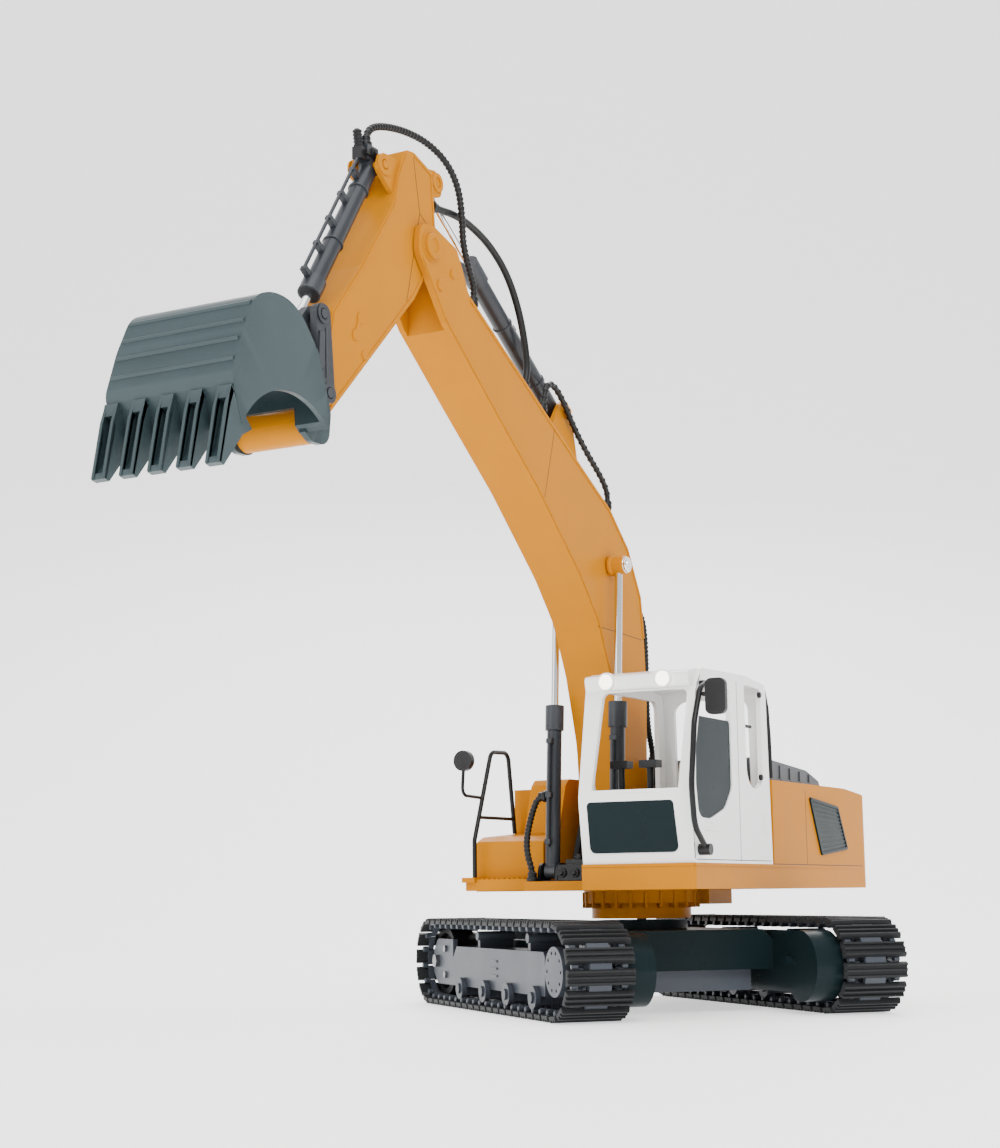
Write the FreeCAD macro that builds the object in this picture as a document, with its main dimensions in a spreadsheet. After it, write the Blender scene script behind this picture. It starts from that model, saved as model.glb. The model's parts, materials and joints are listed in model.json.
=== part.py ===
import FreeCAD, Part
import math
import os
from FreeCAD import Placement, Rotation, Vector

# Remote controlled excavator, 1:20.  Millimetres, +Z up.
# +X points forward along the boom, +Y to the cab side, and Z = 0 is the ground.
# Every piece is drawn about the slewing axis (X = Y = 0).  At the end each one is moved back by
# frame_shift, so that the origin is under the middle of the whole machine, and the pieces of the
# undercarriage are also turned by track_yaw, the angle at which the upper structure stands on it.

SIZES = {
    "frame_shift": 115.6, "track_yaw": 48.7,
    "wheelbase": 184.2, "gauge": 137.7, "shoe_width": 33.0, "track_height": 44.6,
    "belt_hollow": 18.4, "belt_band": 20.2, "shoe_pitch": 9.6, "shoe_length": 6.6,
    "wheel_height": 22.3, "sprocket_radius": 17.6, "sprocket_root": 14.2, "idler_radius": 17.9,
    "roller_radius": 5.4, "roller_height": 9.6, "roller_axle": 1.8,
    "beam_half": 10.5, "beam_low": 10.5, "beam_high": 30.5,
    "drum_radius": 16.5, "drum_wall": 1.6, "shaft_radius": 2.4, "running_gap": 0.06,
    "body_half": 43.0, "body_reach": 60.0, "body_low": 20.0, "body_high": 39.0,
    "skirt_radius": 25.2, "flange_radius": 29.0, "skirt_low": 44.4, "slew_shaft": 2.5,
    "deck_low": 58.4, "deck_high": 70.1, "deck_half": 72.8, "deck_front": 97.5,
    "deck_rear": -147.6, "slot_left": 16.0, "slot_right": -34.0, "slot_rear": -16.0,
    "slot_floor": 63.0, "tank_front": 41.3, "house_top": 111.5, "wall": 2.2,
    "boom_y": -7.5, "boom_half": 12.3, "stick_half": 9.0, "end_boss_half": 16.0,
    "foot_x": 11.0, "foot_z": 92.0, "foot_pin": 4.0,
    "stick_x": 210.5, "stick_z": 337.5, "stick_pin": 3.0,
    "bucket_x": 305.5, "bucket_z": 237.0, "bucket_pin": 2.5, "bucket_half": 29.0,
    "lift_spacing": 17.6, "lift_low_x": 48.6, "lift_low_z": 68.0,
    "lift_top_x": 39.0, "lift_top_z": 219.5, "lift_barrel": 3.7, "lift_rod": 1.9,
    "jib_low_x": 74.0, "jib_low_z": 292.5, "jib_top_x": 197.0, "jib_top_z": 372.0,
    "jib_barrel": 4.4, "jib_rod": 2.0,
    "curl_low_x": 241.0, "curl_low_z": 366.0, "curl_top_x": 293.9, "curl_top_z": 285.2,
    "rocker_x": 289.5, "rocker_z": 253.7, "link_x": 313.0, "link_z": 262.0,
    "curl_barrel": 4.0, "curl_rod": 1.8, "cab_wall": 2.4,
    "hose_radius": 1.7,
}
TRACK_SIDES = {"left": 1, "right": -1}
ROLLER_PLACES = (-48.0, -11.5, 23.0, 59.5)
CARRIER_PLACES = (-28.0, 45.7)
SHELL_WALL = 2.3
FORK_START = 192.0

doc = FreeCAD.newDocument("rc_excavator")
sheet = doc.addObject("Spreadsheet::Sheet", "Sizes")
for row, (alias, value) in enumerate(SIZES.items(), 1):
    sheet.set("A%d" % row, alias)
    sheet.set("B%d" % row, str(value))
    sheet.setAlias("B%d" % row, alias)
doc.recompute()
D = {alias: float(sheet.get(alias)) for alias in SIZES}
nodes = []


# ---------------------------------------------------------------- drawing helpers

def bound(item, prop, value):
    """Set a property to a number, or bind it to the sheet when it is given as a formula."""
    if isinstance(value, str):
        item.setExpression(prop, value)
    elif prop.startswith(".Placement.Base."):
        setattr(item.Placement.Base, prop[-1], value)
    else:
        setattr(item, prop, value)


def cell(alias):
    return "Sizes." + alias


def axis_turn(direction):
    return Rotation(Vector(0, 0, 1), Vector(*direction))


def box(low, high):
    """A plain block between two corners."""
    item = doc.addObject("Part::Box", "block")
    item.Length = high[0] - low[0]
    item.Width = high[1] - low[1]
    item.Height = high[2] - low[2]
    item.Placement = Placement(Vector(*low), Rotation())
    return item


def rod(radius, start, end):
    """A round bar from one point to another; its radius may be a formula."""
    item = doc.addObject("Part::Cylinder", "bar")
    run = Vector(*end) - Vector(*start)
    bound(item, "Radius", radius)
    item.Height = run.Length
    item.Placement = Placement(Vector(*start), axis_turn(run))
    return item


def cross_bar(radius, x, z, y_start, y_end):
    """A round bar across the machine, along Y."""
    return rod(radius, (x, min(y_start, y_end), z), (x, max(y_start, y_end), z))


def fuse(items):
    item = doc.addObject("Part::MultiFuse", "joined")
    item.Shapes = items
    return item


def cut(base, tools):
    item = doc.addObject("Part::Cut", "cut")
    item.Base = base
    item.Tool = tools[0] if len(tools) == 1 else fuse(tools)
    return item


def group(items):
    """Several separate solids that share one node."""
    item = doc.addObject("Part::Compound", "set")
    item.Links = items
    return item


def joined_runs(corners, closed):
    """Straight runs joined by tangent arcs.  Each corner is (point, radius)."""
    pieces = []
    stops = []
    for index, (point, radius) in enumerate(corners):
        if radius == 0 or (not closed and index in (0, len(corners) - 1)):
            stops.append((point, point, None))
            continue
        inward = (corners[index - 1][0] - point).normalize()
        outward = (corners[(index + 1) % len(corners)][0] - point).normalize()
        half_turn = (math.pi - inward.getAngle(outward)) / 2
        reach = radius * math.tan(half_turn)
        crown = point + (inward + outward).normalize() * (radius / math.cos(half_turn) - radius)
        stops.append((point + inward * reach, point + outward * reach, crown))
    for index, (entry, leave, crown) in enumerate(stops):
        if crown is not None:
            pieces.append(Part.Arc(entry, crown, leave))
        if closed or index < len(stops) - 1:
            following = stops[(index + 1) % len(stops)][0]
            if leave.distanceToPoint(following) > 1e-6:
                pieces.append(Part.LineSegment(leave, following))
    return pieces


def flat(points):
    """Turn (a, b) or (a, b, radius) entries into corners for joined_runs."""
    return [(Vector(p[0], p[1], 0), p[2] if len(p) > 2 else 0) for p in points]


PLANES = {"XY": "XY_Plane", "XZ": "XZ_Plane", "YZ": "YZ_Plane"}


def prism(plane, outlines, start, end, length=None):
    """A body whose sketch on one of its origin planes is padded from start to end.

    start and end are places along Z for XY, along Y for XZ and along X for YZ.  length is the formula
    that binds the pad to the sheet, where one size in the sheet sets it.
    """
    body = doc.addObject("PartDesign::Body", "body")
    sketch = body.newObject("Sketcher::SketchObject", "sketch")
    origin_plane = [f for f in body.Origin.OriginFeatures if f.Role == PLANES[plane]][0]
    sketch.AttachmentSupport = [(origin_plane, "")]
    sketch.MapMode = "FlatFace"
    offset = -end if plane == "XZ" else start
    sketch.AttachmentOffset = Placement(Vector(0, 0, offset), Rotation())
    for outline in outlines:
        pieces = outline if isinstance(outline[0], (Part.LineSegment, Part.Arc)) else None
        sketch.addGeometry(pieces or joined_runs(flat(outline), True), False)
    pad = body.newObject("PartDesign::Pad", "pad")
    pad.Profile = sketch
    bound(pad, "Length", length or end - start)
    body.Tip = pad
    return body


def inset(outline, wall):
    """The outline moved inwards by a wall thickness, with its corner radii kept concentric."""
    count = len(outline)
    area = sum(p[0] * q[1] - q[0] * p[1] for p, q in zip(outline, outline[1:] + outline[:1]))
    inward = 1 if area > 0 else -1
    result = []
    for index, corner in enumerate(outline):
        point = Vector(corner[0], corner[1], 0)
        before = Vector(*outline[index - 1][:2], 0)
        after = Vector(*outline[(index + 1) % count][:2], 0)
        first = (point - before).normalize()
        second = (after - point).normalize()
        normal = Vector(-first.y, first.x, 0) * inward
        following = Vector(-second.y, second.x, 0) * inward
        mitre = (normal + following).normalize()
        moved = point + mitre * (wall / mitre.dot(normal))
        convex = first.cross(second).z * inward > 0
        radius = corner[2] if len(corner) > 2 else 0
        result.append((moved.x, moved.y, max(radius - wall, 0) if convex else radius + wall))
    return result


def hollowed_half(outline, start, end, open_at, wall, solid_from, depth):
    """A prism along Y that is hollow from its face at Y = open_at, and solid beyond X = solid_from."""
    low = start - 1 if open_at == start else start + wall
    high = end - wall if open_at == start else end + 1
    hollow = prism("XZ", [inset(outline, wall)], low, high)
    if solid_from is not None:
        hollow = cut(hollow, [box((solid_from, low - 1, 0), (solid_from + 200, high + 1, 400))])
    return cut(prism("XZ", [outline], start, end, depth), [hollow])


def two_halves(outline, depth, wall, bores=(), extras=(), notch=(), solid_from=None):
    """Left and right moulded half shells that meet on the boom plane.

    depth is the name in the sheet of the width of one half.
    """
    middle = D["boom_y"]
    half = D[depth]
    halves = []
    for low, high in ((middle, middle + half), (middle - half, middle)):
        item = hollowed_half(outline, low, high, middle, wall, solid_from, cell(depth))
        local = [e for e in extras if low <= e[0] and e[1] <= high]
        if local:
            item = fuse([item] + [prism("XZ", [e[2]], e[0], e[1]) for e in local])
        tools = [cross_bar(r, x, z, low - 30, high + 30) for r, x, z in bores]
        tools += [box(*corners) for corners in notch]
        halves.append(cut(item, tools) if tools else item)
    return halves


def slanted_bar(radius, start, end, low, high, y):
    """A bar on the line between two pivots, from low to high along it."""
    first = Vector(start[0], y, start[1])
    run = (Vector(end[0], y, end[1]) - first).normalize()
    return rod(radius, tuple(first + run * low), tuple(first + run * high))


def hose(points, radius):
    """A hose of straight runs joined by arcs as large as the runs allow."""
    route = [Vector(*p) for p in points]
    corners = [(route[0], 0)]
    for before, point, after in zip(route, route[1:], route[2:]):
        shorter = min((point - before).Length, (after - point).Length)
        turn = (point - before).getAngle(after - point)
        corners.append((point, 0.45 * shorter / math.tan(turn / 2)))
    corners.append((route[-1], 0))
    wire = Part.Wire([piece.toShape() for piece in joined_runs(corners, False)])
    spine = doc.addObject("Part::Feature", "route")
    spine.Shape = wire
    ring = doc.addObject("Part::Circle", "section")
    ring.Radius = radius
    ring.Placement = Placement(route[0], axis_turn(route[1] - route[0]))
    tube = doc.addObject("Part::Sweep", "tube")
    tube.Sections = [ring]
    tube.Spine = (spine, [])
    tube.Solid = True
    tube.Frenet = False
    doc.recompute()
    wanted = math.pi * radius ** 2 * wire.Length
    radii = ["%.0f" % r for _, r in corners[1:-1]]
    print("hose: length %.1f, radii %s, volume ratio %.3f" % (wire.Length, radii, tube.Shape.Volume / wanted))
    return tube


def node(label, item, turned=False):
    """Name a finished piece and put it in its place in the machine's frame."""
    if not item.Placement.isIdentity():
        item = group([item])
    item.Label = label
    turn = Rotation(Vector(0, 0, 1), D["track_yaw"] if turned else 0)
    item.Placement = Placement(Vector(-D["frame_shift"], 0, 0), turn)
    item.setExpression(".Placement.Base.x", "-" + cell("frame_shift"))
    if turned:
        item.setExpression(".Placement.Rotation.Angle", cell("track_yaw"))
    nodes.append(item)


def arc_points(centre, radius, first, last, steps):
    """Points on an arc, from one angle to another in degrees."""
    angles = [math.radians(first + (last - first) * n / steps) for n in range(steps + 1)]
    return [(centre[0] + radius * math.cos(a), centre[1] + radius * math.sin(a)) for a in angles]


# ---------------------------------------------------------------- undercarriage
# Its own X runs along the tracks, towards the driven sprockets.

def lateral(side, offset):
    return side * (D["gauge"] / 2 + offset)


def carbody():
    half = D["body_half"]
    reach = D["body_reach"]
    low = D["body_low"]
    high = D["body_high"]
    corner = 5
    section = [(-half, low), (half, low), (half, high - corner), (half - corner, high),
               (-half + corner, high), (-half, high - corner)]
    parts = [prism("YZ", [section], -reach, reach, "2 * " + cell("body_reach"))]
    beam = D["gauge"] / 2 - D["beam_half"]
    for side in TRACK_SIDES.values():
        inner, outer = sorted((side * (half - 1), side * beam))
        parts.append(box((-45, inner, low), (45, outer, 34)))
        inner, outer = sorted((side * half, side * (half + 4)))
        parts.append(box((-66, inner, 9.5), (74, outer, 38.5)))
    parts.append(rod(23, (0, 0, high - 1), (0, 0, 43.5)))
    return cut(fuse(parts), [rod(D["slew_shaft"] + 0.02, (0, 0, 30), (0, 0, 50))])


def battery_box():
    return cut(box((-55, -33, 10), (55, 33, 20)), [box((-53, -31, 9), (53, 31, 18.5))])


def battery_door():
    return fuse([box((-52.8, -30.8, 10.4), (52.8, 30.8, 12)), box((-6, -30.8, 10), (6, -27, 11))])


def battery_pack():
    return group([box((-45, y, 12.1), (45, y + 26.5, 18.4)) for y in (-26, 1)])


def track_frame(side):
    half = D["beam_half"]
    low = D["beam_low"]
    high = D["beam_high"]
    near, far = sorted((lateral(side, -half), lateral(side, half)))
    outline = [(-66, low), (70, low), (70, high - 2), (68, high), (-60, high), (-66, high - 6)]
    parts = [prism("XZ", [outline], near, far, "2 * " + cell("beam_half"))]
    for x in ROLLER_PLACES:
        parts.append(box((x - 3.5, near, 6.4), (x + 3.5, far, low + 1)))
    for x in CARRIER_PLACES:
        parts.append(box((x - 1.6, near + 1.5, high - 1), (x + 1.6, far - 1.5, 36.4)))
        parts.append(cross_bar(2.3, x, 36.4, near + 0.5, far - 0.5))
    rib_face = far if side > 0 else near
    for z in (17, 20.5, 24):
        low_y, high_y = sorted((rib_face - side * 1, rib_face + side * 0.5))
        parts.append(box((-6, low_y, z), (4, high_y, z + 1)))
    bores = [cross_bar(D["roller_axle"] + D["running_gap"], x, D["roller_height"], near - 5, far + 5)
             for x in ROLLER_PLACES]
    return cut(fuse(parts), bores)


def idler_bracket(side):
    x = -D["wheelbase"] / 2
    z = D["wheel_height"]
    parts = [cross_bar(2.0, x, z, lateral(side, -8.5), lateral(side, 8.5))]
    for inner in (8, -D["beam_half"]):
        near, far = sorted((lateral(side, inner), lateral(side, inner + 2.5)))
        outline = [(-66, 10.5), (-66, 34), (-92, 34, 5), (-99, 28, 4), (-99, 16, 4), (-92, 10.5, 4)]
        parts.append(prism("XZ", [outline], near, far))
    return fuse(parts)


def undercarriage_bolts():
    x = -D["wheelbase"] / 2
    heads = []
    face = D["beam_half"]
    for side in TRACK_SIDES.values():
        heads.append(hexagon(3.6, x, D["wheel_height"], lateral(side, face), lateral(side, face + 2.2)))
        heads.append(hexagon(1.9, -78, 29, lateral(side, face), lateral(side, face + 1.2)))
        heads.append(hexagon(1.9, -78, 15.5, lateral(side, face), lateral(side, face + 1.2)))
    return group(heads)


def hexagon(radius, x, z, y_start, y_end):
    corners = arc_points((x, z), radius, 0, 300, 5)
    low, high = sorted((y_start, y_end))
    return prism("XZ", [corners], low, high)


def drive_cover(side):
    x = D["wheelbase"] / 2
    z = D["wheel_height"]
    wall = D["drum_wall"]
    drum = cross_bar(cell("drum_radius"), x, z, lateral(side, -28.4), lateral(side, -14.4))
    neck_low, neck_high = sorted((side * D["body_half"], side * (D["body_half"] + 4)))
    neck = box((74, neck_low, 9.5), (84, neck_high, 35))
    port = cross_bar(2.2, x - 9, z + 2, lateral(side, -31.5), lateral(side, -28))
    hollow = cross_bar(D["drum_radius"] - wall, x, z, lateral(side, -28.4 + wall), lateral(side, -10))
    return cut(fuse([drum, neck, port]), [hollow])


def drive_gearmotor(side):
    x = D["wheelbase"] / 2
    z = D["wheel_height"]
    can = cross_bar(12, x, z, lateral(side, -28.4 + D["drum_wall"]), lateral(side, -13))
    shaft = cross_bar(cell("shaft_radius"), x, z, lateral(side, -14), lateral(side, 12.6))
    return fuse([can, shaft])


def toothed_ring(teeth, root, tip, near, far, x, z):
    """A sprocket ring: each tooth is a flat-topped wedge."""
    step = 360 / teeth
    corners = []
    for n in range(teeth):
        for share, radius in ((0.0, root), (0.28, root), (0.40, tip), (0.62, tip), (0.74, root)):
            angle = math.radians((n + share) * step)
            corners.append((x + radius * math.cos(angle), z + radius * math.sin(angle)))
    return prism("XZ", [corners], near, far)


def sprocket(side):
    x = D["wheelbase"] / 2
    z = D["wheel_height"]
    near, far = sorted((lateral(side, -4), lateral(side, 4)))
    ring = toothed_ring(12, D["sprocket_root"], D["sprocket_radius"], near, far, x, z)
    sleeve = cross_bar(8, x, z, lateral(side, -9), lateral(side, 12))
    disc = cross_bar(11.2, x, z, lateral(side, 11.5), lateral(side, 14.6))
    tools = [cross_bar(D["shaft_radius"] + D["running_gap"], x, z, lateral(side, -10), lateral(side, 12.8))]
    for hole_x, hole_z in arc_points((x, z), 8.6, 0, 324, 9):
        tools.append(cross_bar(0.8, hole_x, hole_z, lateral(side, 13), lateral(side, 16)))
    return cut(fuse([ring, sleeve, disc]), tools)


def idler(side):
    x = -D["wheelbase"] / 2
    z = D["wheel_height"]
    wheel = cross_bar(cell("idler_radius"), x, z, lateral(side, -6), lateral(side, 6))
    hub = cross_bar(5, x, z, lateral(side, -7.6), lateral(side, 7.6))
    hollows = []
    for low, high in ((3, 7), (-7, -3)):
        dish = cross_bar(14.5, x, z, lateral(side, low), lateral(side, high))
        hollows.append(cut(dish, [cross_bar(5, x, z, lateral(side, -9), lateral(side, 9))]))
    bore = cross_bar(2.0 + D["running_gap"], x, z, lateral(side, -9), lateral(side, 9))
    return cut(fuse([wheel, hub]), hollows + [bore])


def road_roller(side, x):
    z = D["roller_height"]
    half = D["beam_half"]
    parts = [cross_bar(cell("roller_axle"), x, z, lateral(side, -half - 2), lateral(side, half + 2))]
    for outward in (1, -1):
        parts.append(cross_bar(cell("roller_radius"), x, z, lateral(side, outward * (half + 0.3)),
                               lateral(side, outward * (half + 2.8))))
        parts.append(cross_bar(2.6, x, z, lateral(side, outward * (half + 2)),
                               lateral(side, outward * (half + 3.8))))
    return fuse(parts)


def belt_point(along, radius):
    """A point at a distance along the loop of the belt, at a radius from the wheel centres."""
    base = D["wheelbase"]
    pitch_radius = D["belt_band"]
    bend = math.pi * pitch_radius
    along %= 2 * (base + bend)
    z = D["wheel_height"]
    if along < base:
        return (along - base / 2, z - radius)
    along -= base
    if along < bend:
        angle = -math.pi / 2 + along / pitch_radius
        return (base / 2 + radius * math.cos(angle), z + radius * math.sin(angle))
    along -= bend
    if along < base:
        return (base / 2 - along, z + radius)
    angle = math.pi / 2 + (along - base) / pitch_radius
    return (-base / 2 + radius * math.cos(angle), z + radius * math.sin(angle))


def track_belt(side):
    """A closed belt with a grouser on every shoe, drawn as one outline round the wheels."""
    length = 2 * (D["wheelbase"] + math.pi * D["belt_band"])
    count = round(length / D["shoe_pitch"])
    step = length / count
    outer = []
    for n in range(count):
        start = (n + 0.5) * step - D["shoe_length"] / 2
        end = start + D["shoe_length"]
        outer.append(belt_point(start, D["belt_band"]))
        outer.append(belt_point(start, D["track_height"] / 2))
        outer.append(belt_point(end, D["track_height"] / 2))
        outer.append(belt_point(end, D["belt_band"]))
    half = D["wheelbase"] / 2
    z = D["wheel_height"]
    inner = D["belt_hollow"]
    low = Vector(0, z - inner, 0)
    high = Vector(0, z + inner, 0)
    shift = Vector(half, 0, 0)
    hollow = [Part.LineSegment(low - shift, low + shift),
              Part.Arc(low + shift, Vector(half + inner, z, 0), high + shift),
              Part.LineSegment(high + shift, high - shift),
              Part.Arc(high - shift, Vector(-half - inner, z, 0), low - shift)]
    near, far = sorted((lateral(side, -D["shoe_width"] / 2), lateral(side, D["shoe_width"] / 2)))
    return prism("XZ", [outer, hollow], near, far, cell("shoe_width"))


node("carbody", carbody(), True)
node("slew_shaft", rod(cell("slew_shaft"), (0, 0, 30), (0, 0, 56.5)), True)
node("battery_box", battery_box(), True)
node("battery_door", battery_door(), True)
node("battery_pack", battery_pack(), True)
node("track_frames", group([track_frame(side) for side in TRACK_SIDES.values()]), True)
node("idler_brackets", group([idler_bracket(side) for side in TRACK_SIDES.values()]), True)
node("undercarriage_bolts", undercarriage_bolts(), True)
node("drive_covers", group([drive_cover(side) for side in TRACK_SIDES.values()]), True)
node("drive_gearmotors", group([drive_gearmotor(side) for side in TRACK_SIDES.values()]), True)
for name, side in TRACK_SIDES.items():
    node("track_belt_" + name, track_belt(side), True)
    node("sprocket_" + name, sprocket(side), True)
    node("idler_" + name, idler(side), True)
    for number, x in enumerate(ROLLER_PLACES, 1):
        node("road_roller_%s_%d" % (name, number), road_roller(side, x), True)


# ---------------------------------------------------------------- upper structure

def slew_skirt():
    low = D["skirt_low"]
    high = D["deck_low"]
    parts = [rod(cell("skirt_radius"), (0, 0, low), (0, 0, high)),
             rod(cell("flange_radius"), (0, 0, 52), (0, 0, high)),
             box((-40, -5, 51), (-10, 33, high))]
    return cut(fuse(parts), [rod(20, (0, 0, low - 1), (0, 0, high + 1))])


def swing_gearmotor():
    return cut(rod(15, (0, 0, 47), (0, 0, D["deck_low"])),
               [rod(D["slew_shaft"] + D["running_gap"], (0, 0, 46), (0, 0, 56.9))])


def rear_profile(inset):
    """The side view that rounds the tail of the machine, from the deck's foot to the top of the house."""
    rear = D["deck_rear"] + inset
    top = D["house_top"] - inset
    return [(120, 50), (rear + 4, 50), (rear + 3, 60), (rear, 82, 30), (rear + 2.2, 100, 20),
            (rear + 10, top - 2.5, 7), (rear + 42, top), (120, top)]


def rounded_rear(item, inset):
    """The piece with its tail shaped to rear_profile."""
    shaped = doc.addObject("Part::Common", "rounded")
    shaped.Base = item
    shaped.Tool = prism("XZ", [rear_profile(inset)], -90, 90)
    return shaped


def deck():
    half = D["deck_half"]
    rear = D["deck_rear"]
    low = D["deck_low"]
    high = D["deck_high"]
    outline = [(D["deck_front"], D["slot_left"]), (D["deck_front"], half, 2), (rear, half, 14),
               (rear, -half, 14), (D["tank_front"], -half), (D["tank_front"], D["slot_right"]),
               (D["slot_rear"], D["slot_right"]), (D["slot_rear"], D["slot_left"])]
    thickness = cell("deck_high") + " - " + cell("deck_low")
    plate = rounded_rear(prism("XY", [outline], low, high, thickness), 0)
    floor = box((-17, -35, low), (60, 17, D["slot_floor"]))
    step = box((D["tank_front"] - 1, -half - 1.2, low + 0.4), (50, -38, 64.5))
    rail = box((D["tank_front"] - 7, -half - 2.4, 63), (52, -half + 5, 65.5))
    hollow_top = high - 2.5
    hollows = [box((rear + 14, -half + 2.5, low - 1), (-42, half - 2.5, hollow_top)),
               box((34, 18.5, low - 1), (D["deck_front"] - 2.5, half - 2.5, hollow_top))]
    return cut(fuse([plate, floor, step, rail]), hollows)


def house_outline(inset):
    half = D["deck_half"] - inset
    rear = D["deck_rear"] + inset
    front = -inset
    slot = D["slot_rear"] - inset
    radius = 14 - inset
    return [(front, half), (rear, half, radius), (rear, -half, radius), (front, -half),
            (front, D["slot_right"] - inset), (slot, D["slot_right"] - inset),
            (slot, D["slot_left"] + inset), (front, D["slot_left"] + inset)]


def engine_house():
    low = D["deck_high"]
    high = D["house_top"]
    wall = D["wall"]
    height = cell("house_top") + " - " + cell("deck_high")
    solid = rounded_rear(prism("XY", [house_outline(0)], low, high, height), 0)
    hollow = rounded_rear(prism("XY", [house_outline(wall)], low - 1, high - wall), wall)
    return cut(solid, [hollow])


def engine_hood():
    top = D["house_top"]
    outline = [(-6, top), (-6, top + 12.5, 2), (-72, top + 8.5, 6), (-91, top + 3.5, 3), (-92.5, top)]
    solid = prism("XZ", [outline], -34, 64)
    grooves = [box((-70, y, top + 6), (-12, y + 2.5, top + 20)) for y in (-18, 2, 22, 42)]
    bed = [(-5, top), (-5, top + 11.3), (-75, top + 7.2), (-75, top)]
    lower = [cut(groove, [prism("XZ", [bed], -30, 60)]) for groove in grooves]
    return cut(solid, lower)


def engine_grilles():
    outline = [(-52, 104), (-92.7, 100.6), (-105.6, 79.5), (-66.6, 76)]
    half = D["deck_half"]
    return group([prism("XZ", [outline], half, half + 0.9), prism("XZ", [outline], -half - 0.9, -half)])


def side_tank():
    low = D["deck_high"]
    near = -D["deck_half"]
    front = D["tank_front"]
    profile = [(0.3, low), (front, low), (front, 83, 3), (34, 86, 6), (0.3, 88.5)]
    tall = [(0.3, low), (24, low), (24, 88), (16, 112, 4), (12, 115.5, 3), (0.3, 115.5)]
    solid = fuse([prism("XZ", [profile], near, D["slot_right"]), prism("XZ", [tall], -54, D["slot_right"])])
    hollow = box((2.5, near + 2.5, low - 1), (front - 2.5, -56.5, 83))
    return cut(solid, [hollow])


def handrail():
    y = -70.5
    loop = [(Vector(47, y, 65.5), 0), (Vector(47, y, 84), 6), (Vector(29, y, 130), 5),
            (Vector(11, y, 130.5), 5), (Vector(4.6, y, 88.5), 0)]
    hoop = bent_bar(loop, 1.15)
    bar = rod(0.9, (42.6, y, 96), (5.6, y, 96))
    return fuse([hoop, bar])


def bent_bar(corners, radius):
    """A bar bent from straight runs and arcs of the radii given at its corners."""
    spine = doc.addObject("Part::Feature", "line")
    spine.Shape = Part.Wire([piece.toShape() for piece in joined_runs(corners, False)])
    ring = doc.addObject("Part::Circle", "section")
    ring.Radius = radius
    ring.Placement = Placement(corners[0][0], axis_turn(corners[1][0] - corners[0][0]))
    bar = doc.addObject("Part::Sweep", "bent")
    bar.Sections = [ring]
    bar.Spine = (spine, [])
    bar.Solid = True
    bar.Frenet = False
    return bar


def round_mirror():
    y = -70.5
    stalk = bent_bar([(Vector(39.9, y, 106), 0), (Vector(59, y, 106.6), 4), (Vector(57, y, 124), 0)], 0.85)
    return fuse([stalk, rod(5.2, (55.2, y, 124), (58.6, y, 124)), rod(1.6, (53.8, y, 124), (56, y, 124))])


def cab_profile(inset):
    """The side view of the cab: it bulges at the knee of the windscreen and leans back above it."""
    low = D["deck_high"] + (0 if inset == 0 else inset)
    return [(2 + inset, low), (96 - inset, low), (100 - inset, 100, 12), (90 - inset, 152 - inset, 3),
            (84 - inset, 159.5 - inset, 4), (30, 160.5 - inset, 60), (5 + inset, 158 - inset, 4)]


def cab_visor():
    """The block above the windscreen that carries the two lamps."""
    outline = [(84, 151), (94, 150, 2), (95.5, 157, 2), (84, 159.4)]
    return prism("XZ", [outline], D["slot_left"] + 2, D["deck_half"] - 2)


def door_window(margin, top):
    """The rounded window of the door: lowest towards the front and open to a height at its top."""
    front = 84 + (152 - top) * 0.31
    return [(51 + margin, 105, 7), (60, 95.5 + margin, 12), (78, 90.2 + margin, 12),
            (91 - margin, 90.6 + margin, 6), (93.6 - margin, 106, 14), (92.6 - margin, 122, 30),
            (front - margin, top, 3), (51 + margin, top, 2)]


def cab_shell():
    near = D["slot_left"]
    far = D["deck_half"]
    wall = D["cab_wall"]
    width = cell("deck_half") + " - " + cell("slot_left")
    outer = prism("XZ", [cab_profile(0)], near, far, width)
    inner = prism("XZ", [cab_profile(wall)], near + wall, far - wall)
    windows = [
        prism("YZ", [[(22.5, 103.8), (66.5, 103.8), (68.5, 149.5, 3), (25, 149.5, 3)]], 80, 110),
        prism("YZ", [[(20.5, 75, 3), (65, 75, 3), (64, 98.5, 2), (20, 98.5, 2)]], 80, 110),
        prism("YZ", [[(24, 104, 6), (64, 104, 6), (64, 152, 6), (24, 152, 6)]], -5, 15),
        prism("XZ", [door_window(0, 152)], far - 6, far + 6),
        prism("XZ", [[(12, 108, 7), (32, 104, 10), (33, 156, 2), (12, 155.5, 3)]], far - 6, far + 6),
        prism("XZ", [[(14, 102, 6), (88, 102, 6), (80, 152, 5), (14, 152, 5)]], near - 6, near + 6),
    ]
    return cut(fuse([outer, cab_visor()]), [inner] + windows)


def cab_panels():
    """The dark lower front pane and the dark lower pane of the door, each set in its opening."""
    wall = D["cab_wall"]
    far = D["deck_half"]
    front = prism("YZ", [[(20.5, 75, 3), (65, 75, 3), (64, 98.5, 2), (20, 98.5, 2)]], 80, 110)
    skin = prism("XZ", [[(94.6, 72), (96.9, 72), (99.9, 99.5), (97.4, 99.5)]], 18, 68)
    pane = doc.addObject("Part::Common", "pane")
    pane.Base = front
    pane.Tool = skin
    door = prism("XZ", [door_window(0.2, 137)], far - wall + 0.2, far - 0.6)
    return group([pane, door])


def cab_lamps():
    lamps = [rod(3.4, (93, y, 154.2), (97.2, y, 154.2)) for y in (30, 59)]
    return group([cut(lamp, [cab_visor()]) for lamp in lamps])


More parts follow.
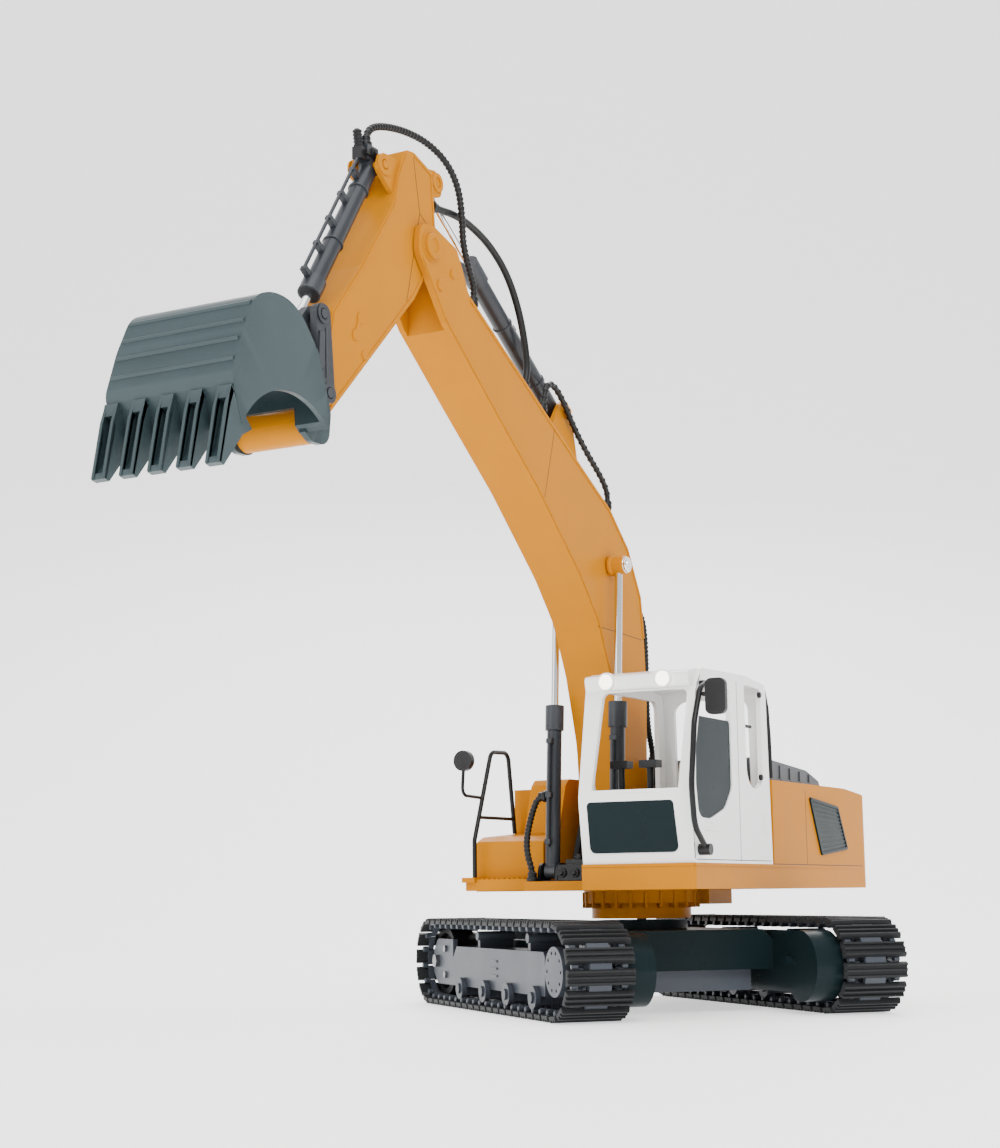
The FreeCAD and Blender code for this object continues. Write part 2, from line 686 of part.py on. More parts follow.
def grab_rail():
    """The long bent rail in front of the door, with its knob and the mirror that it carries."""
    y = 76.2
    loop = [(Vector(86, 72.85, 152), 0), (Vector(86, y, 152), 1.8), (Vector(94, y, 149), 6),
            (Vector(101.5, y, 133), 14), (Vector(106.5, y, 104), 30), (Vector(104, y, 86), 12),
            (Vector(91.2, y, 76), 0)]
    rail = bent_bar(loop, 1.35)
    knob = rod(2.6, (91.2, 72.8, 76), (91.2, 78.4, 76))
    return fuse([rail, knob])


def door_mirror():
    y = 76.2
    outline = [(y + 3, 136.5, 3), (y + 13, 136.5, 3), (y + 13, 153, 3), (y + 3, 153, 3)]
    plate = prism("YZ", [outline], 93, 95.6)
    return fuse([plate, rod(1.0, (94.3, y + 1.3, 146), (94.3, y + 4, 146))])


def seat():
    base = box((30, 34, D["deck_high"] + 2.4), (58, 56, 84))
    outline = [(29, 84), (60, 84), (60, 90, 3), (32, 89, 2), (22, 121, 3), (14, 121, 3), (24, 84)]
    pad = prism("XZ", [outline], 33, 57)
    console = box((58, 24, D["deck_high"] + 2.4), (80, 62, 95))
    return fuse([base, pad, console])


def joysticks():
    sticks = []
    for y in (27, 42):
        sticks.append(fuse([rod(1.6, (76, y, 95), (76, y, 117)), rod(3, (76, y, 95), (76, y, 98)),
                            box((72.5, y - 4.5, 115), (79, y + 4.5, 118.5))]))
    return group(sticks)


def boom_bracket():
    """Two cheeks on the deck with the pin that the boom's foot turns on."""
    x = D["foot_x"]
    z = D["foot_z"]
    middle = D["boom_y"]
    half = D["boom_half"]
    floor = D["slot_floor"]
    cheek = [(-12, floor), (36, floor), (x + 11, z + 2, 3), (x + 8, z + 12, 8), (x - 8, z + 12, 8),
             (x - 11, z + 2, 3)]
    parts = [prism("XZ", [cheek], middle + half + 0.5, middle + half + 3.2),
             prism("XZ", [cheek], middle - half - 3.2, middle - half - 0.5)]
    parts.append(cross_bar(cell("foot_pin"), x, z, middle - half - 4.4, middle + half + 3.2))
    return fuse(parts)


def lift_clevises():
    """The forks on the deck that hold the feet of the two lift cylinders."""
    x = D["lift_low_x"]
    z = D["lift_low_z"]
    floor = D["slot_floor"]
    forks = []
    for side in (1, -1):
        y = D["boom_y"] + side * D["lift_spacing"]
        ear = [(x - 6, floor), (x + 6, floor), (x + 4.2, z + 4, 4), (x - 4.2, z + 4, 4)]
        forks.append(fuse([prism("XZ", [ear], y + 4.1, y + 5.6), prism("XZ", [ear], y - 5.6, y - 4.1),
                           box((x - 6, y - 4.6, floor), (x + 6, y + 4.6, z - 4.6)),
                           cross_bar(1.6, x, z, y - 5.8, y + 5.8)]))
    return group(forks)


node("slew_skirt", slew_skirt())
node("swing_gearmotor", swing_gearmotor())
node("deck", deck())
node("circuit_board", box((-118, -42, 66), (-58, 42, 67.6)))
node("engine_house", engine_house())
node("engine_hood", engine_hood())
node("engine_grilles", engine_grilles())
node("side_tank", side_tank())
node("handrail", handrail())
node("round_mirror", round_mirror())
node("cab_shell", cab_shell())
node("cab_panels", cab_panels())
node("cab_lamps", cab_lamps())
node("grab_rail", group([grab_rail(), door_mirror()]))
node("seat", seat())
node("joysticks", joysticks())
node("boom_bracket", boom_bracket())
node("lift_clevises", lift_clevises())


# ---------------------------------------------------------------- boom, stick and bucket

BOOM = [(178, 324.4, 8), (183, 334, 4), (188, 342.5, 5), (208, 347.5, 8), (219, 346, 6), (221, 333, 8),
        (198, 306), (161, 279, 40), (115.5, 246.5, 60), (72.5, 210.5, 60), (53.5, 190, 40),
        (41, 165, 40), (30, 130, 60), (27.5, 92, 15.5), (11, 75.5, 14.5), (-5.5, 92, 15.5),
        (-0.5, 124, 60), (-2, 160.5, 60), (-0.3, 184, 50), (3, 209, 30), (17, 232.5, 25),
        (37.5, 249.8, 40), (59.5, 261.2, 60), (101, 283, 80)]

STICK = [(219, 378.5, 3), (203.5, 374, 4), (200.5, 338, 8), (219, 312),
         (300.5, 230.6, 3), (311, 231.5, 6), (312, 241, 6), (296.5, 252), (284.5, 277, 8),
         (282, 290, 4), (261.5, 315), (236, 350, 20), (232.5, 364, 3), (226, 377.5, 3)]


def jib_lug():
    """The lug on the boom's back that holds the foot of the stick cylinder."""
    x = D["jib_low_x"]
    z = D["jib_low_z"]
    return [(60, 259), (94, 277), (x + 6, z + 3, 4), (x, z + 7, 4), (x - 5, z + 2, 4)]


def boom():
    middle = D["boom_y"]
    slot = D["stick_half"] + 0.5
    ears = [(middle + 4.8, middle + 7.4, jib_lug()), (middle - 7.4, middle - 4.8, jib_lug())]
    notch = [((FORK_START + 3, middle - slot, 295), (225, middle + slot, 352))]
    bores = [(D["foot_pin"] + D["running_gap"], D["foot_x"], D["foot_z"]),
             (D["stick_pin"] + 0.02, D["stick_x"], D["stick_z"]),
             (2.02, D["jib_low_x"], D["jib_low_z"])]
    return two_halves(BOOM, "boom_half", SHELL_WALL, bores, ears, notch, FORK_START)


def boom_pins():
    """The stick's pin and the pin at the stick cylinder's foot, each with a head."""
    middle = D["boom_y"]
    half = D["boom_half"]
    x = D["stick_x"]
    z = D["stick_z"]
    large = fuse([cross_bar(cell("stick_pin"), x, z, middle - half, middle + half),
                  cross_bar(5.2, x, z, middle + half, middle + half + 1.4),
                  cross_bar(5.2, x, z, middle - half - 1.4, middle - half)])
    small = cross_bar(2.0, D["jib_low_x"], D["jib_low_z"], middle - 8.2, middle + 8.2)
    return group([large, small])


def stick():
    middle = D["boom_y"]
    bores = [(D["stick_pin"] + D["running_gap"], D["stick_x"], D["stick_z"]),
             (2.0 + D["running_gap"], D["rocker_x"], D["rocker_z"])]
    top = [(D["jib_top_x"] - 5, D["jib_top_z"] + 2, 3), (D["jib_top_x"] - 3, D["jib_top_z"] - 6, 3),
           (207, 362), (209, 375.2), (D["jib_top_x"] + 2, D["jib_top_z"] + 5, 3)]
    front = [(229, 372), (D["curl_low_x"] + 2, D["curl_low_z"] + 5, 3),
             (D["curl_low_x"] + 5, D["curl_low_z"] - 3, 3), (230, 352)]
    ears = []
    for outline in (top, front):
        ears.append((middle + 5.4, middle + 7.6, outline))
        ears.append((middle - 7.6, middle - 5.4, outline))
    return two_halves(STICK, "stick_half", SHELL_WALL, bores, ears)


def stick_end():
    """The wide round boss at the end of the stick, and the pins of the curl cylinder's foot."""
    middle = D["boom_y"]
    half = D["end_boss_half"]
    x = D["bucket_x"]
    z = D["bucket_z"]
    boss = cut(cross_bar(7.3, x, z, middle - half, middle + half),
               [cross_bar(D["bucket_pin"] + D["running_gap"], x, z, middle - half - 1, middle + half + 1)])
    return boss


def lift_barrel(side):
    y = D["boom_y"] + side * D["lift_spacing"]
    low = (D["lift_low_x"], D["lift_low_z"])
    top = (D["lift_top_x"], D["lift_top_z"])
    parts = [slanted_bar(cell("lift_barrel"), low, top, 2, 76, y),
             slanted_bar(4.7, low, top, 70, 82.5, y),
             cross_bar(3.7, low[0], low[1], y - 2.9, y + 2.9),
             slanted_bar(2.2, low, top, 4, 8, y)]
    pipe = slanted_bar(0.8, (low[0] + 5.2, low[1]), (top[0] + 5.2, top[1]), 12, 66, y)
    parts.append(pipe)
    for place in (13, 36, 63):
        parts.append(slanted_block(low, top, place, 2.4, 6.2, 1.5, y))
    tools = [slanted_bar(D["lift_rod"] + 0.05, low, top, 7, 90, y),
             cross_bar(1.6 + D["running_gap"], low[0], low[1], y - 4, y + 4)]
    return cut(fuse(parts), tools)


def slanted_block(start, end, place, length, forward, half, y):
    """A small block on the front of a cylinder, at a place along its line."""
    run = (Vector(end[0], 0, end[1]) - Vector(start[0], 0, start[1])).normalize()
    ahead = Vector(run.z, 0, -run.x)
    foot = Vector(start[0], 0, start[1]) + run * place
    corners = [foot + ahead * 2.5, foot + ahead * forward, foot + ahead * forward + run * length,
               foot + ahead * 2.5 + run * length]
    return prism("XZ", [[(c.x, c.z) for c in corners]], y - half, y + half)


def lift_rod(side):
    y = D["boom_y"] + side * D["lift_spacing"]
    low = (D["lift_low_x"], D["lift_low_z"])
    top = (D["lift_top_x"], D["lift_top_z"])
    length = math.dist(low, top)
    shaft = slanted_bar(cell("lift_rod"), low, top, 42, length, y)
    inner = D["boom_half"] + 0.3
    eye = cross_bar(4.2, top[0], top[1], D["boom_y"] + side * inner, D["boom_y"] + side * (inner + 9))
    pin = cross_bar(2.2, top[0], top[1], D["boom_y"] + side * (inner + 8), D["boom_y"] + side * (inner + 11))
    return fuse([shaft, eye, pin])


def cylinder_barrel(start, end, radius, rod_radius, length, pin, eye_half, collar):
    y = D["boom_y"]
    parts = [slanted_bar(radius, start, end, 3, length, y),
             slanted_bar(radius + 0.9, start, end, length - collar, length, y),
             cross_bar(radius, start[0], start[1], y - eye_half, y + eye_half)]
    tools = [slanted_bar(rod_radius + 0.05, start, end, pin + 5, length + 5, y),
             cross_bar(pin + D["running_gap"], start[0], start[1], y - 10, y + 10)]
    return parts, tools


def cylinder_rod(start, end, radius, low, eye_radius, eye_half, hole):
    y = D["boom_y"]
    length = math.dist(start, end)
    parts = [slanted_bar(radius, start, end, low, length - 1, y),
             cross_bar(eye_radius, end[0], end[1], y - eye_half, y + eye_half)]
    return cut(fuse(parts), [cross_bar(hole, end[0], end[1], y - 10, y + 10)])


def stick_barrel():
    start = (D["jib_low_x"], D["jib_low_z"])
    end = (D["jib_top_x"], D["jib_top_z"])
    parts, tools = cylinder_barrel(start, end, D["jib_barrel"], D["jib_rod"], 100, 2.0, 4.5, 12)
    pipe = slanted_bar(0.8, (start[0] - 3, start[1] + 5), (end[0] - 3, end[1] + 5), 14, 86, D["boom_y"])
    blocks = [slanted_block(end, start, place, 3, 6.4, 1.6, D["boom_y"]) for place in (58, 92, 126)]
    return cut(fuse(parts + [pipe] + blocks), tools)


def stick_rod():
    start = (D["jib_low_x"], D["jib_low_z"])
    end = (D["jib_top_x"], D["jib_top_z"])
    return cylinder_rod(start, end, D["jib_rod"], 14, 3.4, 2.9, 2.1)


def bucket_barrel():
    start = (D["curl_low_x"], D["curl_low_z"])
    end = (D["curl_top_x"], D["curl_top_z"])
    parts, tools = cylinder_barrel(start, end, D["curl_barrel"], D["curl_rod"], 82, 1.8, 3.0, 8)
    rail = slanted_bar(0.8, (start[0] + 7, start[1] + 4.6), (end[0] + 7, end[1] + 4.6), 4, 76, D["boom_y"])
    blocks = [slanted_block(end, start, place, 2.2, 9, 1.4, D["boom_y"]) for place in (20, 36, 52, 68, 84)]
    middle = D["boom_y"]
    manifold = box((start[0] - 2.5, middle - 3, start[1] + 2), (start[0] + 6, middle + 3, start[1] + 8.5))
    return cut(fuse(parts + [rail, manifold] + blocks), tools)


def bucket_rod():
    start = (D["curl_low_x"], D["curl_low_z"])
    end = (D["curl_top_x"], D["curl_top_z"])
    return cylinder_rod(start, end, D["curl_rod"], 12, 3.6, 2.5, 2.0)


def curl_pin():
    """The pin through the ears at the stick's front top, for the foot of the bucket cylinder."""
    return cross_bar(1.8, D["curl_low_x"], D["curl_low_z"], D["boom_y"] - 8.4, D["boom_y"] + 8.4)


def rocker():
    """Two levers on the stick's flanks, with stub pins for the stick and for the link."""
    middle = D["boom_y"]
    half = D["stick_half"]
    x = D["rocker_x"]
    z = D["rocker_z"]
    top_x = D["curl_top_x"]
    top_z = D["curl_top_z"]
    lever = [(x - 4.5, z - 3.5, 4), (x + 4.5, z - 4, 4), (x + 8, z + 12, 20), (top_x + 4.8, top_z + 4, 4),
             (top_x - 4.8, top_z + 4.5, 4), (x - 3, z + 12, 20)]
    sides = []
    for side in (1, -1):
        near, far = sorted((middle + side * (half + 0.5), middle + side * (half + 3.6)))
        sides.append(fuse([prism("XZ", [lever], near, far),
                           cross_bar(2.0, x, z, middle + side * (half - 2), middle + side * (half + 4.4)),
                           cross_bar(2.0, top_x, top_z, middle + side * 3.2, middle + side * (half + 4.4))]))
    return group(sides)


def bucket_link():
    """The link from the levers' top to the bucket's back."""
    middle = D["boom_y"]
    top_x = D["curl_top_x"]
    top_z = D["curl_top_z"]
    low_x = D["link_x"]
    low_z = D["link_z"]
    run = Vector(low_x - top_x, low_z - top_z, 0).normalize()
    across = Vector(-run.y, run.x, 0)
    start = Vector(top_x, top_z, 0)
    corners = [start + across * 4 - run * 4, start - across * 4 - run * 4,
               start - across * 4 + run * 30, start + across * 4 + run * 30]
    bar = [(c.x, c.y, 3.8) for c in corners]
    parts = [prism("XZ", [bar], middle + 3.4, middle + 7), prism("XZ", [bar], middle - 7, middle - 3.4)]
    web = [start + across * 2.4 + run * 12, start - across * 2.4 + run * 12,
           start - across * 2.4 + run * 22, start + across * 2.4 + run * 22]
    parts.append(prism("XZ", [[(c.x, c.y) for c in web]], middle - 4, middle + 4))
    parts.append(cross_bar(3.9, low_x, low_z, middle - 8.4, middle + 8.4))
    return cut(fuse(parts), [cross_bar(2.0 + D["running_gap"], top_x, top_z, middle - 9, middle + 9)])


def bucket():
    middle = D["boom_y"]
    half = D["bucket_half"]
    side_view = [(313.7, 232), (315.5, 248, 20), (322, 262, 20), (334.5, 275.6, 22), (350, 277, 27),
                 (361, 272.5, 13), (368.5, 257, 40), (374.5, 239, 8), (368.2, 222.5)]
    mouth = [Part.Arc(Vector(368.2, 222.5, 0), Vector(341, 241, 0), Vector(313.7, 232, 0))]
    outer = joined_runs(flat(side_view), True)[:-1] + mouth
    wall = [(316, 225), (317.8, 247.5, 18), (324, 260.8, 18), (335.2, 273.4, 19), (349.6, 274.7, 24),
            (359.3, 270.6, 10), (366.4, 256.3, 38), (371.8, 239.4, 6), (365.6, 220), (358, 212), (324, 212)]
    shell = cut(prism("XZ", [outer], middle - half, middle + half, "2 * " + cell("bucket_half")),
                [prism("XZ", [wall], middle - half + 2.2, middle + half - 2.2)])
    ear = [(299, 229.5, 6), (297.5, 243, 6), (306.5, 267, 5), (316, 268.5, 5), (323.6, 261.5), (316.9, 248),
           (315.2, 232), (310, 229, 5)]
    inner = D["end_boss_half"] + 0.4
    parts = [shell, prism("XZ", [ear], middle + inner, middle + inner + 2.6),
             prism("XZ", [ear], middle - inner - 2.6, middle - inner),
             cross_bar(cell("bucket_pin"), D["bucket_x"], D["bucket_z"], middle - inner - 3.6,
                       middle + inner + 3.6)]
    tooth = [(362, 222), (371.6, 231.5), (374.6, 236), (376.4, 228), (380.8, 206.6), (378.2, 206),
             (367.6, 219)]
    channel = [(377.5, 231.5), (372.4, 230.4), (373, 227), (376.6, 213), (379.4, 209), (383, 209)]
    hollows = [box((308, middle - 15.4, 226), (320, middle + 15.4, 241.5))]
    for n in range(5):
        y = middle + (n - 2) * 12.9
        parts.append(prism("XZ", [tooth], y - 3.1, y + 3.1))
        hollows.append(prism("XZ", [channel], y - 1.9, y + 1.9))
    for x, z in ((362.2, 269.2), (365.9, 261.7), (369.1, 254.2), (371.8, 246.2)):
        parts.append(cross_bar(1.0, x, z, middle - half + 1, middle + half - 1))
    parts.append(cross_bar(3.4, D["link_x"], D["link_z"], middle + inner, middle + inner + 3.4))
    parts.append(cross_bar(3.4, D["link_x"], D["link_z"], middle - inner - 3.4, middle - inner))
    return cut(fuse(parts), hollows)


left_half, right_half = boom()
node("boom_left_shell", left_half)
node("boom_right_shell", right_half)
node("boom_pins", boom_pins())
node("lift_barrels", group([lift_barrel(1), lift_barrel(-1)]))
node("lift_rods", group([lift_rod(1), lift_rod(-1)]))
node("stick_barrel", stick_barrel())
node("stick_rod", stick_rod())
node("stick_shells", group([cut(half, [cross_bar(7.3, D["bucket_x"], D["bucket_z"], -40, 30)])
                            for half in stick()] + [stick_end(), curl_pin()]))
node("bucket_barrel", bucket_barrel())
node("bucket_rod", bucket_rod())
node("rocker", rocker())
node("bucket_link", bucket_link())
node("bucket", bucket())


# ---------------------------------------------------------------- hoses
# Each route is in the machine's frame about the slewing axis.

HOSE_ROUTES = {
    "hose_bucket": [(244, -7.5, 374.55), (244, -7.5, 379.5), (239.5, -7.3, 385), (228, -7, 389.2),
                    (213, -6, 391.8), (198, -4, 391.2), (187.5, -0.5, 385), (182.5, 2.4, 374.5),
                    (181.5, 3.8, 361), (181.2, 3.8, 348), (175.5, 3.3, 338), (167.9, 2.7, 328.1),
                    (171.7, 2.7, 321.07)],
    "hose_stick": [(202.2, -0.4, 359.5), (194.3, -0.4, 360.2), (181, -0.1, 361.9), (166, 0.4, 360.4),
                   (150, 0.9, 355.6), (134.5, 1, 346.2), (123.5, 1, 331.5), (117.5, 1, 315),
                   (115.8, 1, 301.85), (120.3, 1, 293.48)],
    "hose_lift_front": [(46.25, -28.85, 105), (46.25, -33.6, 105), (47.5, -36, 99), (51.5, -36.3, 91),
                        (56, -35.6, 83), (58, -34, 75.5), (56.6, -32.2, 68.8), (56.6, -32.2, 63.05)],
    "hose_boom_back": [(1.2, 0.5, 201), (-5, 0.5, 202), (-9.5, 0.6, 195), (-10.5, 0.8, 182),
                       (-10, 1, 163), (-11.5, 0.3, 149), (-16, -1, 139.5), (-21.5, -2.3, 133.5),
                       (-24.3, -3, 128.4), (-24, -3, 122.97)],
    "hose_boom_top": [(106, 2.7, 285.77), (102.7, 2.7, 291.9), (100.5, 2.7, 299.5), (94, 2.7, 302.5),
                      (84, 2.7, 297.5), (71, 2.7, 284.5), (57, 2.7, 274.2), (42.5, 2.7, 265.5),
                      (36, 2.7, 259.5), (34.6, 2.7, 253.9), (37.3, 2.7, 249.7)],
}


def hoses():
    for name, points in HOSE_ROUTES.items():
        node(name, hose(points, D["hose_radius"]))


hoses()


# ---------------------------------------------------------------- checks and files

doc.recompute()
for item in doc.Objects:
    if "Invalid" in item.State or "Error" in item.State:
        raise SystemExit("%s (%s) failed: %s" % (item.Name, item.Label, item.State))
os.makedirs("parts", exist_ok=True)
for item in nodes:
    shape = item.Shape
    if shape.isNull() or not shape.isValid() or not shape.Solids:
        raise SystemExit("%s has no valid solid" % item.Label)
    shape.exportStep("parts/%s.step" % item.Label)
print("%d nodes, %d solids" % (len(nodes), sum(len(item.Shape.Solids) for item in nodes)))
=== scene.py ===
import json
import math

import bmesh
import bpy
from mathutils import Matrix, Vector


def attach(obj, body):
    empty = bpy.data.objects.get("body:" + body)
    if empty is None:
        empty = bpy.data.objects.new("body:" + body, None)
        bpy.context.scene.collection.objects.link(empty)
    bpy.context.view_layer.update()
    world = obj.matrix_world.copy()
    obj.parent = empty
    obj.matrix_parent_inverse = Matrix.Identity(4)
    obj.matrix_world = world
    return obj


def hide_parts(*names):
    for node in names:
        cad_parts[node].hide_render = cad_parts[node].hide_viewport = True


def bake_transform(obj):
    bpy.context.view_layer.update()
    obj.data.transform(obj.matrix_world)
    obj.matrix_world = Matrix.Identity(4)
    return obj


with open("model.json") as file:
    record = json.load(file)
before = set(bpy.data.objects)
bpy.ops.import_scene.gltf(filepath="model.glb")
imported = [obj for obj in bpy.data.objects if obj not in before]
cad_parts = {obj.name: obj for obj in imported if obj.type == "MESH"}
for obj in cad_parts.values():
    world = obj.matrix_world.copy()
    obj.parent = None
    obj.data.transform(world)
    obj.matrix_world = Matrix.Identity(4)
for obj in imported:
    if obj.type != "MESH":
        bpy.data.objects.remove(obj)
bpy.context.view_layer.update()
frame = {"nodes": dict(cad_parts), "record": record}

# ---------------------------------------------------------------- frame
# Shapes are written in millimetres about the slewing axis, as in the CAD model.
AXIS_X = -115.6
TRACK_YAW = math.radians(48.7)
UPPER = Matrix.Translation((AXIS_X / 1000, 0, 0)) @ Matrix.Scale(0.001, 4)
UNDER = (Matrix.Translation((AXIS_X / 1000, 0, 0)) @ Matrix.Rotation(TRACK_YAW, 4, "Z")
         @ Matrix.Scale(0.001, 4))
BOOM_Y = -7.5


def place(x, y, z):
    """A point of the upper structure, in metres in the frame."""
    return UPPER @ Vector((x, y, z))


# ---------------------------------------------------------------- camera
CAMERA_AT = (0.7971, 0.4301, 0.0567)
CAMERA_FORWARD = Vector((-0.8613, -0.4815, 0.1623)).normalized()
CAMERA_ROLL = -0.011475
camera_data = bpy.data.cameras.new("camera")
camera_data.sensor_width = 36
camera_data.lens = 61.19
camera_data.clip_start = 0.01
camera = bpy.data.objects.new("camera", camera_data)
bpy.context.collection.objects.link(camera)
level_right = CAMERA_FORWARD.cross(Vector((0, 0, 1))).normalized()
level_up = level_right.cross(CAMERA_FORWARD)
right = math.cos(CAMERA_ROLL) * level_right + math.sin(CAMERA_ROLL) * level_up
up = -math.sin(CAMERA_ROLL) * level_right + math.cos(CAMERA_ROLL) * level_up
turn = Matrix((right, up, -CAMERA_FORWARD)).transposed().to_4x4()
camera.matrix_world = Matrix.Translation(CAMERA_AT) @ turn
bpy.context.scene.camera = camera


# ---------------------------------------------------------------- materials
BLOTCH_SCALE = 55
BLOTCH_RANGE = (0.3, 0.72)
GRAIN_SCALE = 1500
GRAIN_DEPTH = 0.0004
# pointiness of an edge where its painted highlight starts and where it is full
HIGHLIGHT_RANGE = (0.52, 0.62)
COAT_ROUGHNESS = 0.06
LEAST_ROUGHNESS = 0.02


def grained(name, colour, rough, metallic=0.0, coat=0.0, bump=0.05, mottle=0.06, edge_highlight=0.0,
            rough_span=0.08, shine=0.5):
    """A moulded or machined surface: mottled colour, fine grain, uneven gloss and sharp edges painted
    lighter as a highlight.
    """
    material = bpy.data.materials.new(name)
    material.use_nodes = True
    nodes = material.node_tree.nodes
    links = material.node_tree.links
    shader = nodes["Principled BSDF"]
    shader.inputs["Metallic"].default_value = metallic
    shader.inputs["Coat Weight"].default_value = coat
    shader.inputs["Coat Roughness"].default_value = COAT_ROUGHNESS
    shader.inputs["Specular IOR Level"].default_value = shine
    where = nodes.new("ShaderNodeTexCoord")
    broad = nodes.new("ShaderNodeTexNoise")
    broad.inputs["Scale"].default_value = BLOTCH_SCALE
    broad.inputs["Detail"].default_value = 3
    links.new(where.outputs["Object"], broad.inputs["Vector"])
    tones = nodes.new("ShaderNodeValToRGB")
    for element, position in zip(tones.color_ramp.elements, BLOTCH_RANGE):
        element.position = position
    tones.color_ramp.elements[0].color = [c * (1 - mottle) for c in colour] + [1]
    tones.color_ramp.elements[1].color = [min(c * (1 + mottle), 1) for c in colour] + [1]
    links.new(broad.outputs["Fac"], tones.inputs["Fac"])
    tint = tones.outputs["Color"]
    # painted highlight: sharp convex edges are painted lighter than the base colour, standing in for light
    # catching them
    if edge_highlight:
        shape = nodes.new("ShaderNodeNewGeometry")
        edge = nodes.new("ShaderNodeValToRGB")
        for element, position in zip(edge.color_ramp.elements, HIGHLIGHT_RANGE):
            element.position = position
        links.new(shape.outputs["Pointiness"], edge.inputs["Fac"])
        amount = nodes.new("ShaderNodeMath")
        amount.operation = "MULTIPLY"
        amount.inputs[1].default_value = edge_highlight
        links.new(edge.outputs["Color"], amount.inputs[0])
        mix = nodes.new("ShaderNodeMix")
        mix.data_type = "RGBA"
        links.new(amount.outputs[0], mix.inputs["Factor"])
        links.new(tint, mix.inputs["A"])
        # the lighter colour of the painted edge highlight
        mix.inputs["B"].default_value = [min(c * 1.6 + 0.02, 1) for c in colour] + [1]
        tint = mix.outputs["Result"]
    links.new(tint, shader.inputs["Base Color"])
    fine = nodes.new("ShaderNodeTexNoise")
    fine.inputs["Scale"].default_value = GRAIN_SCALE
    fine.inputs["Detail"].default_value = 4
    links.new(where.outputs["Object"], fine.inputs["Vector"])
    gloss = nodes.new("ShaderNodeMapRange")
    gloss.inputs["To Min"].default_value = max(rough - rough_span, LEAST_ROUGHNESS)
    gloss.inputs["To Max"].default_value = rough + rough_span
    links.new(broad.outputs["Fac"], gloss.inputs["Value"])
    links.new(gloss.outputs["Result"], shader.inputs["Roughness"])
    relief = nodes.new("ShaderNodeBump")
    relief.inputs["Strength"].default_value = bump
    relief.inputs["Distance"].default_value = GRAIN_DEPTH
    links.new(fine.outputs["Fac"], relief.inputs["Height"])
    links.new(relief.outputs["Normal"], shader.inputs["Normal"])
    return material


# name: (colour, roughness, what else differs from the usual surface)
# painted highlight: the edge amount in some entries below paints their sharp edges lighter
SURFACES = {
    "orange_body": ((0.47, 0.168, 0.0), 0.36, dict(bump=0.03, mottle=0.03, shine=0.05)),
    "white_cab": ((0.90, 0.90, 0.885), 0.24, dict(coat=0.4, bump=0.02, mottle=0.015)),
    "slate_bucket": ((0.019, 0.033, 0.037), 0.36, dict(bump=0.10, mottle=0.10, edge_highlight=0.5, shine=0.25)),
    "dark_teal": ((0.006, 0.013, 0.015), 0.30, dict(bump=0.03, mottle=0.04, shine=0.08)),
    "frame_grey": ((0.034, 0.040, 0.051), 0.36, dict(bump=0.10, mottle=0.08, edge_highlight=0.4, shine=0.25)),
    "track_black": ((0.007, 0.008, 0.009), 0.50, dict(bump=0.2, mottle=0.2, edge_highlight=0.4, shine=0.18)),
    "black_trim": ((0.006, 0.006, 0.007), 0.36, dict(bump=0.08, mottle=0.15, edge_highlight=0.2, shine=0.25)),
    "barrel_grey": ((0.018, 0.021, 0.026), 0.34, dict(bump=0.10, mottle=0.12, edge_highlight=0.4, shine=0.35)),
    "hood_grey": ((0.035, 0.040, 0.047), 0.40, dict(bump=0.12, mottle=0.08, edge_highlight=0.4, shine=0.3)),
    "steel_rod": ((0.80, 0.81, 0.83), 0.12, dict(metallic=1.0, bump=0.01, mottle=0.04, rough_span=0.05)),
    "screw_steel": ((0.22, 0.22, 0.23), 0.34, dict(metallic=1.0, bump=0.06, mottle=0.15)),
    "hose_rubber": ((0.005, 0.005, 0.005), 0.45, dict(bump=0.15, mottle=0.2, shine=0.3)),
    "seat_beige": ((0.55, 0.49, 0.38), 0.6, dict(bump=0.2, mottle=0.08)),
    "lamp_clear": ((0.95, 0.93, 0.85), 0.12, dict(coat=1.0, bump=0.05, mottle=0.03)),
    "circuit_green": ((0.01, 0.09, 0.03), 0.35, dict(bump=0.2, mottle=0.3)),
    "battery_wrap": ((0.02, 0.06, 0.22), 0.3, dict(coat=0.3, bump=0.1, mottle=0.1)),
}
MATERIALS = {name: grained(name, colour, rough, **more) for name, (colour, rough, more) in SURFACES.items()}
SLOT_OF = {part["node"]: part["material_slot"] for part in frame["record"]["subparts"]}
LAMP_COLOUR = (1, 0.93, 0.75, 1)
LAMP_STRENGTH = 4.0
SHARP_ANGLE = 34


def glow(material, colour, strength):
    """Gives a material light of its own."""
    shader = material.node_tree.nodes["Principled BSDF"]
    shader.inputs["Emission Color"].default_value = colour
    shader.inputs["Emission Strength"].default_value = strength


glow(MATERIALS["lamp_clear"], LAMP_COLOUR, LAMP_STRENGTH)


def soften(item, width):
    """Rounds the sharp edges of a piece by a width in millimetres."""
    if width:
        bevel = item.modifiers.new("bevel", "BEVEL")
        bevel.width = width / 1000
        bevel.segments = 2
        bevel.limit_method = "ANGLE"
        bevel.angle_limit = math.radians(SHARP_ANGLE)
        bevel.use_clamp_overlap = True
    weigh = item.modifiers.new("normals", "WEIGHTED_NORMAL")
    weigh.keep_sharp = True


for name, item in frame["nodes"].items():
    item.data.materials.clear()
    item.data.materials.append(MATERIALS[SLOT_OF[name]])


# ---------------------------------------------------------------- mesh helpers

